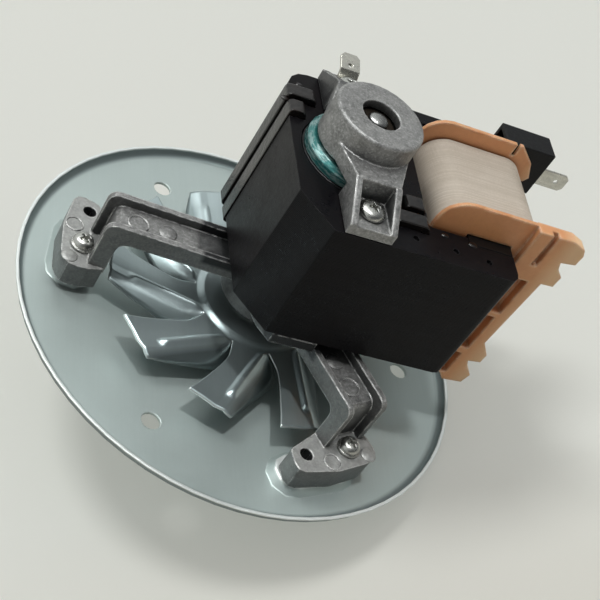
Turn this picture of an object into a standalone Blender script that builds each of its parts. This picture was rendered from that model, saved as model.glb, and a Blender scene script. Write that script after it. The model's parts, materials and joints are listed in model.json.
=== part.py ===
"""Oven fan motor: a shaded-pole motor on a round flange plate.

Metres, +Z up. The origin is on the shaft axis, in the plate's flat underside. The shaft points down
through the plate, the motor stands above it, and +X runs along the lamination stack towards its coil.
"""

import math

import bmesh
import bpy
from mathutils import Matrix, Vector

# General
GAP = 0.0003                    # clearance between pieces that seat on each other
FULL = 2 * math.pi
ARM_AZIMUTHS = [math.radians(a) for a in (175.5, 295.5, 55.5)]
ARM_NAMES = ("left", "front", "rear")

# Mounting plate
PLATE_RADIUS = 0.0750
PLATE_THICK = 0.0010
PLATE_RIM_HEIGHT = 0.0036
PLATE_BEND = 0.0022             # inner radius between plate and rim
PLATE_BORE = 0.0060             # radius of the opening round the shaft
PLATE_SEGMENTS = 64
PAD_HEIGHT = 0.0026             # raised pads under the bracket's feet
PAD_TOP_RADIUS = 0.0057
PAD_FOOT_RADIUS = 0.0078
HOLE_INSET = 0.0173             # from the plate's edge to the circle that carries every screw
HOLE_CIRCLE = PLATE_RADIUS - HOLE_INSET
HOLE_RADIUS = 0.0030

# Lamination stack
STACK_BOTTOM = 0.0325
STACK_HEIGHT = 0.0435
STACK_TOP = STACK_BOTTOM + STACK_HEIGHT
STACK_HALF_WIDTH = 0.0325
STACK_LEFT = -0.0190
STACK_RIGHT = 0.0500
STACK_CHAMFER_X = 0.0091
STACK_CHAMFER_Y = 0.0125
STACK_CORNER = 0.0035
STACK_TAPER_Y = 0.0160          # from here the left face runs in towards the rear corner
STACK_TAPER = 0.0026
POLE_RIGHT = 0.0220             # right face of the block that holds the rotor
ARM_INNER_Y = 0.0196            # inner face of each pole arm
ROTOR_BORE = 0.0163
CORE_LEFT = 0.0350              # left face of the leg through the coil
CORE_SEAT = 0.0026              # depth that the leg is let into each arm
DIMPLE_RADIUS = 0.0011
DIMPLE_DEPTH = 0.0010
DIMPLE_PLACES = ((0.0165, 0.0262), (0.0295, 0.0268), (0.0405, 0.0275))

# Shading rings
RING_WIDTH = 0.0050
RING_WALL = 0.0022
RING_STAND = 0.0022             # height above and below the stack
RING_ENDS = {"rear": 0.0194, "front": 0.0210}       # how far out each pole's rings reach
RINGS = {"outer": (0.0134, 0.0140), "inner": (0.0206, 0.0098)}      # middle Y, inner end X

# Rotor and shaft
AIR_GAP = 0.0004
ROTOR_RADIUS = ROTOR_BORE - AIR_GAP
END_RING_INNER = 0.0075
ROTOR_BARS = 13
BAR_RADIUS = 0.0009
BAR_CIRCLE = 0.0138
SHAFT_RADIUS = 0.0030
SHAFT_TOP = 0.0925
SHAFT_BOTTOM = -0.0260
SHAFT_DOME = 0.0011
SHAFT_THREAD_TOP = -0.0110
SHAFT_THREAD_RADIUS = 0.0027
SHAFT_FLAT_DEPTH = 0.0006       # flats that keep the hot-air wheel from slipping

# Bearing brackets, heights counted from the face of the stack
CUP_RADIUS = 0.01375
CUP_HEIGHT = 0.0174
CUP_WALL = 0.0028
CUP_HOLE = 0.0060
CUP_EDGE = 0.0006
BRIDGE_DEPTH = 0.0048
FOOT_HALF_WIDTH = 0.0072
FOOT_INNER_Y = STACK_HALF_WIDTH - 0.0147
FOOT_RECESS_Y = STACK_HALF_WIDTH - 0.0120
FOOT_RECESS_HALF = 0.0052
FOOT_FLOOR = 0.0035
SCREW_Y = STACK_HALF_WIDTH - 0.0070
SCREW_RADIUS = 0.0020
SCREW_HEAD_RADIUS = 0.0040
SCREW_HEAD_HEIGHT = 0.0024
SCREW_SOCKET = 0.0007           # half width of a cross slot

# Bracket arms and their feet on the plate
ARM_TOP = STACK_BOTTOM - RING_STAND - GAP
ARM_DEPTH = 0.0060
ARM_HALF_WIDTH = 0.0076
ARM_WALL = 0.0020
ARM_CHANNEL = 0.0030
ARM_START = 0.0090
ARM_END = HOLE_CIRCLE - 0.0022
LEG_DEPTH = 0.0055
ARM_FILLET = 0.0030
ARM_FOOT_HEIGHT = 0.0087
ARM_FOOT_SCREW = (HOLE_CIRCLE, 0.0005)                  # along the arm, across it
ARM_FOOT_SPARE = (HOLE_CIRCLE - 0.0014, -0.0148)
ARM_FOOT_SPARE_RADIUS = 0.0022

# Cooling fan
FAN_BLADES = 10
FAN_CLEARANCE = 0.0017          # between the blades and the bracket's legs
FAN_RADIUS = ARM_END - LEG_DEPTH - FAN_CLEARANCE
FAN_SHEET = 0.0008
FAN_HUB_RADIUS = 0.0200
FAN_STEP_RADIUS = 0.0165
FAN_STEP_HEIGHT = 0.0012
FAN_HEIGHT = 0.0102             # top of the sheet at the blade roots
FAN_BEAD_HEIGHT = 0.0009
FAN_BEAD_HALF = 0.0014
FAN_FIRST_BLADE = math.radians(-106.3)
FAN_COLLAR_RADIUS = 0.0060
FAN_COLLAR_HEIGHT = 0.0050

# Bobbin and coil
MID_Z = STACK_BOTTOM + STACK_HEIGHT / 2
BOBBIN_WALL = 0.0012
FLANGE_THICK = 0.0014
FLANGE_OUTER_Y = 0.0183
FLANGE_LEFT = 0.0232
FLANGE_HALF_HEIGHT = STACK_HEIGHT / 2 + 0.01065
FLANGE_CORNER = 0.0085
REAR_FLANGE_RIGHT = 0.0605
FRAME_LEFT = 0.0530
FRAME_RIGHT = 0.0657
FRAME_PROUD = 0.0026            # the pocketed frame stands out of the front flange
FRAME_RAIL = 0.0040
FRAME_RUNG = 0.0016
HOOK_REACH = 0.0047
FRAME_LEAN = 0.045              # the frame's right edge leans in towards the bottom
POCKETS = ((-0.98, -0.68), (-0.60, -0.12), (-0.06, 0.41))       # shares of the flange's half height
GROOVE_X = 0.0587               # the frame's upright groove, and how wide and long it is
GROOVE_WIDTH = 0.0020
GROOVE_LENGTH = 0.0128
SLOT_X = 0.0551                 # the slot in the rear flange
SLOT_WIDTH = 0.0012
SLOT_LENGTH = 0.0046
COIL_LEFT = 0.0255
COIL_RIGHT = 0.0615
COIL_HALF_HEIGHT = STACK_HEIGHT / 2 + 0.00545
COIL_CORNER = 0.0085
WRAP_THICK = 0.0008

# Terminals
TAB_WIDTH = 0.0063
TAB_THICK = 0.0008
TAB_HOLE = 0.0008
BLOCK_LEFT = 0.0520
BLOCK_RIGHT = 0.0697
BLOCK_DEPTH = 0.0088
BLOCK_HEIGHT = 0.0167
BLOCK_WALL = 0.0014
TAB_REACH = 0.0123
EARTH_REACH = 0.0082
EARTH_TILT = math.radians(17)

# Bearings
BALL_RADIUS = 0.0070
BALL_LENGTH = CUP_HEIGHT * 0.517
BALL_BELOW_SEAT = CUP_HEIGHT * 0.264    # ball centre under the inner face of the cup's end wall
FELT_INNER = BALL_RADIUS + 0.0004
CLIP_THICK = 0.0006
BALL_END_RADIUS = math.sqrt(BALL_RADIUS ** 2 - (BALL_LENGTH / 2) ** 2)
CLIP_INNER = BALL_END_RADIUS - 0.0006
WASHER_RADIUS = CLIP_INNER - GAP
WASHER_THICK = 0.0012
END_RING_CLEARANCE = 0.0005     # between the rotor's end ring and the bearing's spring clip
BALL_END = CUP_HEIGHT - CUP_WALL - BALL_BELOW_SEAT - BALL_LENGTH / 2
END_RING_HEIGHT = BALL_END - CLIP_THICK - END_RING_CLEARANCE - 2 * GAP
CUP_MOUTH = END_RING_HEIGHT + 0.0012    # depth of the wide mouth that clears the end ring
BRIDGE_LOW = CUP_MOUTH + 0.0007
BRIDGE_HIGH = BRIDGE_LOW + BRIDGE_DEPTH


def clear_scene():
    """Removes whatever the file holds."""
    for item in list(bpy.data.objects):
        bpy.data.objects.remove(item, do_unlink=True)


def material(name, colour, roughness, metallic=0.0):
    """A Principled material, made once for each name."""
    found = bpy.data.materials.get(name)
    if found:
        return found
    made = bpy.data.materials.new(name)
    made.use_nodes = True
    shader = made.node_tree.nodes["Principled BSDF"]
    shader.inputs["Base Color"].default_value = (*colour, 1.0)
    shader.inputs["Roughness"].default_value = roughness
    shader.inputs["Metallic"].default_value = metallic
    made.diffuse_color = (*colour, 1.0)
    return made


def piece(name, bm, look=None, parent=None):
    """Turns a bmesh into an object; without a look it is a tool for a Boolean and stays hidden."""
    bmesh.ops.remove_doubles(bm, verts=bm.verts, dist=1e-7)
    bmesh.ops.recalc_face_normals(bm, faces=bm.faces)
    mesh = bpy.data.meshes.new(name)
    bm.to_mesh(mesh)
    bm.free()
    made = bpy.data.objects.new(name, mesh)
    bpy.context.scene.collection.objects.link(made)
    if look:
        mesh.materials.append(look)
        mesh.shade_smooth()
        mesh.set_sharp_from_angle(angle=math.radians(35))
    else:
        made.hide_render = True
        made.display_type = "WIRE"
    if parent:
        made.parent = parent
    return made


def combine(target, tools, operation):
    """Adds one Boolean for each tool."""
    for tool in tools:
        step = target.modifiers.new(tool.name, "BOOLEAN")
        step.operation = operation
        step.solver = "EXACT"
        step.object = tool


def cut(target, *tools):
    """Takes the tools out of the target."""
    combine(target, tools, "DIFFERENCE")


def join(target, *tools):
    """Adds the tools to the target."""
    combine(target, tools, "UNION")


def arc(centre, radius, start, end, steps):
    """Points along an arc, both ends included."""
    angles = [start + (end - start) * i / steps for i in range(steps + 1)]
    return [(centre[0] + radius * math.cos(a), centre[1] + radius * math.sin(a)) for a in angles]


def rounded(corners, steps=3):
    """An outline whose corners (x, y, radius) are rounded with arcs."""
    outline = []
    for i, (x, y, radius) in enumerate(corners):
        if radius <= 0:
            outline.append((x, y))
            continue
        here = Vector((x, y))
        back = (Vector(corners[i - 1][:2]) - here).normalized()
        ahead = (Vector(corners[(i + 1) % len(corners)][:2]) - here).normalized()
        half = back.angle(ahead) / 2
        reach = radius / math.tan(half)
        centre = here + (back + ahead).normalized() * (radius / math.sin(half))
        first = here + back * reach - centre
        last = here + ahead * reach - centre
        turn = first.angle_signed(last)
        for step in range(steps + 1):
            offset = first.copy()
            offset.rotate(Matrix.Rotation(-turn * step / steps, 2))
            outline.append(tuple(centre + offset))
    return outline


def slab(outline, low, high):
    """An outline in XY raised from one height to another."""
    bm = bmesh.new()
    face = bm.faces.new([bm.verts.new((x, y, low)) for x, y in outline])
    raised = bmesh.ops.extrude_face_region(bm, geom=[face])["geom"]
    top = [v for v in raised if isinstance(v, bmesh.types.BMVert)]
    bmesh.ops.translate(bm, verts=top, vec=(0, 0, high - low))
    return bm


def slab_y(outline, near, far):
    """An outline in XZ drawn out along Y."""
    bm = slab(outline, 0, far - near)
    bm.transform(Matrix.Translation((0, far, 0)) @ Matrix.Rotation(math.pi / 2, 4, "X"))
    return bm


def slab_x(outline, near, far):
    """An outline in YZ drawn out along X."""
    bm = slab(outline, near, far)
    bm.transform(Matrix(((0, 0, 1, 0), (1, 0, 0, 0), (0, 1, 0, 0), (0, 0, 0, 1))))
    return bm


def block(low, high):
    """A box between two corners."""
    outline = [(low[0], low[1]), (high[0], low[1]), (high[0], high[1]), (low[0], high[1])]
    return slab(outline, low[2], high[2])


def turned(profile, segments):
    """A closed (radius, height) profile turned about Z."""
    bm = bmesh.new()
    verts = [bm.verts.new((radius, 0, height)) for radius, height in profile]
    edges = [bm.edges.new((verts[i - 1], verts[i])) for i in range(len(verts))]
    edges = [e for e in edges if max(v.co.x for v in e.verts) > 0]
    bmesh.ops.spin(bm, geom=verts + edges, cent=(0, 0, 0), axis=(0, 0, 1), angle=FULL,
                   steps=segments, use_merge=True, use_duplicate=False)
    bmesh.ops.remove_doubles(bm, verts=bm.verts, dist=1e-7)
    bmesh.ops.dissolve_degenerate(bm, dist=1e-7, edges=bm.edges)
    return bm


def rod(radius, low, high, segments=16, at=(0, 0)):
    """A round bar along Z."""
    bm = turned([(0, low), (radius, low), (radius, high), (0, high)], segments)
    bm.transform(Matrix.Translation((at[0], at[1], 0)))
    return bm


def tube(inner, outer, low, high, segments=20):
    """A ring along Z."""
    return turned([(inner, low), (outer, low), (outer, high), (inner, high)], segments)


def merged(*parts):
    """Several separate closed shapes in one bmesh."""
    whole = bmesh.new()
    for part in parts:
        mesh = bpy.data.meshes.new("part")
        part.to_mesh(mesh)
        part.free()
        whole.from_mesh(mesh)
        bpy.data.meshes.remove(mesh)
    return whole


def turn_z(bm, angle):
    """Turns a bmesh about the shaft axis."""
    bm.transform(Matrix.Rotation(angle, 4, "Z"))
    return bm


def on_circle(radius, angle):
    """A point round the shaft axis."""
    return (radius * math.cos(angle), radius * math.sin(angle))


def turned_place(place, angle):
    """A place given along and across an arm, in the object's own axes."""
    return (place[0] * math.cos(angle) - place[1] * math.sin(angle),
            place[0] * math.sin(angle) + place[1] * math.cos(angle))


# Mounting plate

def capsule(first, last, radius, steps=5):
    """The outline round two points."""
    heading = math.atan2(last[1] - first[1], last[0] - first[0])
    return (arc(last, radius, heading - math.pi / 2, heading + math.pi / 2, steps)
            + arc(first, radius, heading + math.pi / 2, heading + 1.5 * math.pi, steps))


def pad(azimuth, shrink, low, high):
    """A raised pad with sloping sides, under the two holes of a foot."""
    ends = (turned_place(ARM_FOOT_SPARE, azimuth), turned_place(ARM_FOOT_SCREW, azimuth))
    slope = (PAD_FOOT_RADIUS - PAD_TOP_RADIUS) / PAD_HEIGHT
    top = PLATE_THICK + PAD_HEIGHT
    bm = bmesh.new()
    rings = []
    for height in (low, high):
        radius = PAD_TOP_RADIUS + (top - height) * slope - shrink
        rings.append([bm.verts.new((x, y, height)) for x, y in capsule(*ends, radius)])
    bm.faces.new(rings[0])
    bm.faces.new(rings[1])
    for i in range(len(rings[0])):
        bm.faces.new((rings[0][i - 1], rings[0][i], rings[1][i], rings[1][i - 1]))
    return bm


def make_plate():
    """The flange plate with its rim, pads and screw holes."""
    outer_bend = PLATE_BEND + PLATE_THICK
    inner = PLATE_RADIUS - PLATE_THICK
    quarter = math.pi / 2
    centre = PLATE_RADIUS - outer_bend
    profile = [(PLATE_BORE, 0)]
    profile += arc((centre, outer_bend), outer_bend, -quarter, 0, 2)
    profile += [(PLATE_RADIUS, PLATE_RIM_HEIGHT), (inner, PLATE_RIM_HEIGHT)]
    profile += arc((centre, outer_bend), PLATE_BEND, 0, -quarter, 3)
    profile += [(PLATE_BORE, PLATE_THICK)]
    steel = material("zinc_plated_steel", (0.36, 0.43, 0.41), 0.38, 0.75)
    plate = piece("mounting_plate", turned(profile, PLATE_SEGMENTS), steel)
    half = PLATE_THICK / 2
    top = PLATE_THICK + PAD_HEIGHT
    for name, azimuth in zip(ARM_NAMES, ARM_AZIMUTHS):
        join(plate, piece(f"pad_{name}", pad(azimuth, 0, half, top)))
        hollow = pad(azimuth, PLATE_THICK * 0.6, -half, top - PLATE_THICK)
        cut(plate, piece(f"pad_hollow_{name}", hollow))
        screw = turned_place(ARM_FOOT_SCREW, azimuth)
        cut(plate, piece(f"pad_hole_{name}", rod(SCREW_RADIUS + GAP, 0, top + half, 10, screw)))
        between = on_circle(HOLE_CIRCLE, azimuth - math.pi / 3)
        hole = rod(HOLE_RADIUS, -half, PLATE_THICK + half, 16, between)
        cut(plate, piece(f"hole_{name}", hole))
    return plate


# Bearing brackets

def cup_shape(segments=30):
    """The round cup before it is hollowed and its mouth is cut."""
    low = CUP_MOUTH / 2
    return turned([(0, low), (CUP_RADIUS, low), (CUP_RADIUS, CUP_HEIGHT - CUP_EDGE),
                   (CUP_RADIUS - CUP_EDGE, CUP_HEIGHT), (0, CUP_HEIGHT)], segments)


def bridge_shape():
    """The bridge from foot to foot: the lines that touch the cup and the feet's corners."""
    reach = FOOT_RECESS_Y - GAP
    half = FOOT_HALF_WIDTH - GAP
    span = math.hypot(half, reach)
    radius = CUP_RADIUS - 2 * GAP
    touch = math.atan2(reach, half) - math.acos(radius / span)
    outline = []
    for quarter in range(2):
        turn = quarter * math.pi
        side = arc((0, 0), radius, turn - touch, turn + touch, 5)
        outline += side
        corner = 1 - 2 * quarter
        outline += [(corner * half, corner * reach), (-corner * half, corner * reach)]
    return slab(outline, BRIDGE_LOW, BRIDGE_HIGH)


def foot_shape(side):
    """One foot of a bracket: a block with a sloping top, on the stack's face."""
    root = CUP_RADIUS / 2
    profile = [(FOOT_INNER_Y, GAP), (STACK_HALF_WIDTH, GAP), (STACK_HALF_WIDTH, FOOT_FLOOR + GAP),
               (FOOT_RECESS_Y + GAP, BRIDGE_HIGH - GAP), (root, BRIDGE_HIGH - GAP),
               (root, BRIDGE_LOW + GAP), (FOOT_INNER_Y, BRIDGE_LOW + GAP)]
    return slab_x([(side * y, z) for y, z in profile], -FOOT_HALF_WIDTH, FOOT_HALF_WIDTH)


def make_bracket(name, look, place, recessed, extra=()):
    """A cast bearing bracket, built over the stack's face and placed by a matrix."""
    shapes = {"cup": cup_shape(), "bridge": bridge_shape(), "foot_a": foot_shape(1), "foot_b": foot_shape(-1)}
    tools = {}
    for key, bm in shapes.items():
        bm.transform(place)
        tools[key] = bm
    body = piece(name, tools.pop("cup"), look)
    join(body, *[piece(f"{name}_{key}", bm) for key, bm in tools.items()])
    join(body, *extra)
    cavity = rod(CUP_RADIUS - CUP_WALL, 0, CUP_HEIGHT - CUP_WALL, 24)
    cavity.transform(place)
    opening = rod(CUP_HOLE, 0, CUP_HEIGHT * 1.2, 20)
    opening.transform(place)
    ring_space = rod(ROTOR_BORE + GAP, 0, CUP_MOUTH, 32)
    ring_space.transform(place)
    cut(body, piece(f"{name}_ring_space", ring_space), piece(f"{name}_cavity", cavity),
        piece(f"{name}_opening", opening))
    for side in (1, -1):
        hole = rod(SCREW_RADIUS + GAP, -GAP, BRIDGE_HIGH, 12, (0, side * SCREW_Y))
        hole.transform(place)
        if recessed:
            ends = sorted((side * FOOT_RECESS_Y, side * (STACK_HALF_WIDTH + 0.001)))
            recess = block((-FOOT_RECESS_HALF, ends[0], FOOT_FLOOR), (FOOT_RECESS_HALF, ends[1], CUP_HEIGHT))
            recess.transform(place)
            cut(body, piece(f"{name}_recess_{side}", recess))
        cut(body, piece(f"{name}_screw_hole_{side}", hole))
    return body


def arm_profile(inset):
    """The side view of an arm and its leg, moved in from the outer faces by an inset."""
    low = PLATE_THICK + PAD_HEIGHT + ARM_FOOT_HEIGHT
    if not inset:
        corners = [(ARM_START, ARM_TOP, 0), (ARM_START, ARM_TOP - ARM_DEPTH, 0),
                   (ARM_END - LEG_DEPTH, ARM_TOP - ARM_DEPTH, ARM_FILLET),
                   (ARM_END - LEG_DEPTH, low - 0.002, 0), (ARM_END, low - 0.002, 0),
                   (ARM_END, ARM_TOP, ARM_FILLET)]
    else:
        past = 0.004
        corners = [(CUP_RADIUS + 0.002, ARM_TOP + past, 0), (CUP_RADIUS + 0.002, ARM_TOP - inset, 0),
                   (ARM_END - inset, ARM_TOP - inset, ARM_FILLET), (ARM_END - inset, low + GAP, 0),
                   (ARM_END + past, low + GAP, 0), (ARM_END + past, ARM_TOP + past, 0)]
    return rounded(corners, 3)


def arm_solid(azimuth):
    """An arm with its leg and foot, before its channel is cut."""
    bm = slab_y(arm_profile(0), -ARM_HALF_WIDTH, ARM_HALF_WIDTH)
    return turn_z(bm, azimuth)


def foot_solid(azimuth):
    """The plate-like foot at the end of an arm."""
    inner = ARM_END - LEG_DEPTH + GAP
    middle = HOLE_CIRCLE
    corners = [(inner, -0.0082, 0.0010), (middle - 0.0043, -0.0190, 0.0020),
               (middle + 0.0034, -0.0212, 0.0030), (middle + 0.0064, -0.0068, 0.0060),
               (middle + 0.0062, 0.0048, 0.0050), (middle + 0.0040, 0.0101, 0.0034),
               (middle - 0.0023, 0.0096, 0.0020), (inner, 0.0079, 0.0010)]
    low = PLATE_THICK + PAD_HEIGHT + GAP
    return turn_z(slab(rounded(corners, 2), low, low + ARM_FOOT_HEIGHT - GAP), azimuth)


def arm_channel(azimuth):
    """What is cut out of an arm and its leg to make a channel."""
    half = ARM_HALF_WIDTH - ARM_WALL
    return turn_z(slab_y(arm_profile(ARM_CHANNEL), -half, half), azimuth)


def make_brackets():
    """Upper bracket above the stack, lower bracket mirrored below it with its three arms."""
    cast = material("die_cast_alloy", (0.30, 0.30, 0.30), 0.42, 0.85)
    above = Matrix.Translation((0, 0, STACK_TOP))
    below = Matrix.Translation((0, 0, STACK_BOTTOM)) @ Matrix.Diagonal((1, 1, -1, 1))
    make_bracket("upper_bracket", cast, above, True)
    extra = []
    for name, azimuth in zip(ARM_NAMES, ARM_AZIMUTHS):
        extra.append(piece(f"arm_{name}", arm_solid(azimuth)))
        extra.append(piece(f"arm_foot_{name}", foot_solid(azimuth)))
    lower = make_bracket("lower_bracket", cast, below, False, extra)
    for name, azimuth in zip(ARM_NAMES, ARM_AZIMUTHS):
        cut(lower, piece(f"arm_channel_{name}", arm_channel(azimuth)))
        top = PLATE_THICK + PAD_HEIGHT + ARM_FOOT_HEIGHT
        screw = turned_place(ARM_FOOT_SCREW, azimuth)
        spare = turned_place(ARM_FOOT_SPARE, azimuth)
        cut(lower, piece(f"arm_screw_hole_{name}", rod(SCREW_RADIUS + GAP, 0, top + GAP, 10, screw)))
        cut(lower, piece(f"arm_spare_hole_{name}", rod(ARM_FOOT_SPARE_RADIUS, 0, top + GAP, 12, spare)))
    return lower


# Lamination stack and shading rings

def stack_outline():
    """The C-shaped lamination, open to the right between its arms."""
    seat = ARM_INNER_Y + CORE_SEAT
    return rounded([
        (STACK_LEFT, -STACK_HALF_WIDTH + STACK_CHAMFER_Y, 0.0008),
        (STACK_LEFT + STACK_CHAMFER_X, -STACK_HALF_WIDTH, 0.0008),
        (STACK_RIGHT, -STACK_HALF_WIDTH, STACK_CORNER), (STACK_RIGHT, -seat, 0),
        (CORE_LEFT, -seat, 0), (CORE_LEFT, -ARM_INNER_Y, 0), (POLE_RIGHT, -ARM_INNER_Y, 0.0010),
        (POLE_RIGHT, ARM_INNER_Y, 0.0010), (CORE_LEFT, ARM_INNER_Y, 0), (CORE_LEFT, seat, 0),
        (STACK_RIGHT, seat, 0), (STACK_RIGHT, STACK_HALF_WIDTH, STACK_CORNER),
        (STACK_LEFT + STACK_TAPER, STACK_HALF_WIDTH, 2 * STACK_CORNER),
        (STACK_LEFT, STACK_TAPER_Y, 0)], 3)


def ring_places():
    """For each shading ring its name, the side it is on, its middle Y and its two ends in X."""
    for pole, side in (("rear", 1), ("front", -1)):
        for name, (middle, end) in RINGS.items():
            yield f"{pole}_{name}", side, middle, -RING_ENDS[pole], -end


def ring_outline(start, end, inset):
    """Outer or inner outline of a shading ring in XZ."""
    left = start + inset
    right = end - inset
    low = STACK_BOTTOM - RING_STAND + inset
    high = STACK_TOP + RING_STAND - inset
    radius = 0.0014 if not inset else 0
    return rounded([(left, low, radius), (right, low, radius), (right, high, radius), (left, high, radius)], 2)


def turn_half(bm, side):
    """Turns a shape on the rear pole to the front pole."""
    return bm if side > 0 else turn_z(bm, math.pi)


def make_stack():
    """Both stacks, the four shading rings and the slots that they pass through."""
    varnish = material("black_varnish", (0.012, 0.012, 0.013), 0.30)
    copper = material("varnished_copper", (0.020, 0.016, 0.014), 0.22, 0.2)
    core = piece("lamination_core", slab(stack_outline(), STACK_BOTTOM, STACK_TOP), varnish)
    over = 0.001
    cut(core, piece("rotor_bore", rod(ROTOR_BORE, STACK_BOTTOM - over, STACK_TOP + over, 36)))
    for side in (1, -1):
        hole = rod(SCREW_RADIUS + GAP, STACK_BOTTOM - over, STACK_TOP + over, 10, (0, side * SCREW_Y))
        cut(core, piece(f"stack_screw_hole_{side}", hole))
        for i, (x, y) in enumerate(DIMPLE_PLACES):
            dimple = rod(DIMPLE_RADIUS, STACK_TOP - DIMPLE_DEPTH, STACK_TOP + over, 6, (x, side * y))
            cut(core, piece(f"stack_dimple_{side}_{i}", dimple))
    half = RING_WIDTH / 2
    for name, side, middle, start, end in ring_places():
        ring = slab_y(ring_outline(start, end, 0), middle - half, middle + half)
        made = piece(f"shading_ring_{name}", turn_half(ring, side), copper)
        window = slab_y(ring_outline(start, end, RING_WALL), middle - 2 * half, middle + 2 * half)
        cut(made, piece(f"ring_window_{name}", turn_half(window, side)))
        near = middle - half - GAP
        far = middle + half + GAP
        legs = ((start - GAP, start + RING_WALL + GAP), (end - RING_WALL - GAP, end + GAP))
        for i, (low, high) in enumerate(legs):
            slot = block((low, near, STACK_BOTTOM - over), (high, far, STACK_TOP + over))
            cut(core, piece(f"ring_slot_{name}_{i}", turn_half(slot, side)))
    seat = ARM_INNER_Y + CORE_SEAT - GAP
    leg = block((CORE_LEFT + GAP, -seat, STACK_BOTTOM), (STACK_RIGHT, seat, STACK_TOP))
    iron = material("bare_lamination", (0.20, 0.20, 0.19), 0.45, 0.7)
    piece("coil_core", leg, iron)


# Rotor, shaft and what turns with them

def bar_places():
    """Places of the rotor's bars."""
    return [on_circle(BAR_CIRCLE, FULL * i / ROTOR_BARS) for i in range(ROTOR_BARS)]


def make_rotor(axle):
    """Rotor laminations with the cast cage through them."""
    steel = material("rotor_steel", (0.22, 0.22, 0.23), 0.40, 0.9)
    low = STACK_BOTTOM
    high = STACK_TOP
    core = piece("rotor_core", tube(SHAFT_RADIUS + GAP, ROTOR_RADIUS, low, high, 28), steel, axle)
    holes = merged(*[rod(BAR_RADIUS + GAP, low - GAP, high + GAP, 6, at) for at in bar_places()])
    cut(core, piece("bar_holes", holes))
    teal = material("teal_lacquer", (0.045, 0.22, 0.20), 0.25, 0.6)
    edge = END_RING_HEIGHT * 0.35

    def end_ring(start, height):
        outer = ROTOR_RADIUS - GAP
        top = start + height
        soft = math.copysign(edge, height)
        return turned([(END_RING_INNER, start), (outer, start), (outer, top - soft), (outer - edge, top),
                       (END_RING_INNER, top)], 28)

    cage = piece("rotor_cage", end_ring(high + GAP, END_RING_HEIGHT), teal, axle)
    lower = end_ring(low - GAP, -END_RING_HEIGHT)
    reach = END_RING_HEIGHT / 2
    bars = merged(*[rod(BAR_RADIUS, low - reach, high + reach, 6, at) for at in bar_places()])
    join(cage, piece("bars", bars), piece("lower_end_ring", lower))


def make_shaft(axle):
    """The turned shaft, with its domed top, thread relief and flats."""
    steel = material("ground_steel", (0.50, 0.50, 0.50), 0.22, 1.0)
    groove_top = FAN_HEIGHT - FAN_SHEET - FAN_COLLAR_HEIGHT - GAP
    groove = 0.0009
    profile = [(0, SHAFT_TOP)]
    profile += [(SHAFT_RADIUS * math.sin(a), SHAFT_TOP - SHAFT_DOME * (1 - math.cos(a)))
                for a in (math.pi / 6, math.pi / 3)]
    thread = SHAFT_THREAD_RADIUS
    profile += [(SHAFT_RADIUS, SHAFT_TOP - SHAFT_DOME), (SHAFT_RADIUS, groove_top),
                (SHAFT_RADIUS - 0.0005, groove_top), (SHAFT_RADIUS - 0.0005, groove_top - groove),
                (SHAFT_RADIUS, groove_top - groove), (SHAFT_RADIUS, SHAFT_THREAD_TOP),
                (thread, SHAFT_THREAD_TOP - 0.0004), (thread, SHAFT_BOTTOM + 0.0006),
                (thread - 0.0006, SHAFT_BOTTOM), (0, SHAFT_BOTTOM)]
    shaft = piece("shaft", turned(profile, 14), steel, axle)
    length = 0.0080
    for side in (1, -1):
        near = sorted((side * (SHAFT_RADIUS - SHAFT_FLAT_DEPTH), side * SHAFT_RADIUS * 1.5))
        flat = block((-SHAFT_RADIUS, near[0], SHAFT_THREAD_TOP - 0.0002),
                     (SHAFT_RADIUS, near[1], SHAFT_THREAD_TOP + length))
        cut(shaft, piece(f"shaft_flat_{side}", flat))
    clip = tube(SHAFT_RADIUS - 0.0005 + GAP / 2, SHAFT_RADIUS + 0.0022,
                groove_top - 0.0008, groove_top - 0.0001, 12)
    slot = block((0.0005, -0.0012, groove_top - groove), (SHAFT_RADIUS * 2, 0.0012, groove_top + groove))
    ring = piece("retaining_ring", clip, material("spring_steel", (0.16, 0.16, 0.17), 0.35, 1.0), axle)
    cut(ring, piece("retaining_ring_mouth", slot))


def blade_row(left, bead, fold, right, raised):
    """Points across a blade: left edge, bead, fold and right edge, each given in shares of the fan's radius."""
    left, bead, fold, right = [tuple(FAN_RADIUS * share for share in point)
                               for point in (left, bead, fold, right)]
    along, across, height = bead
    points = [left, ((left[0] + along) / 2, (left[1] + across) / 2, (left[2] + height) / 2)]
    points += [(along, across - FAN_BEAD_HALF, height), (along, across, height + raised)]
    points += [(along, across + FAN_BEAD_HALF, height), fold, right]
    return points


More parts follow.
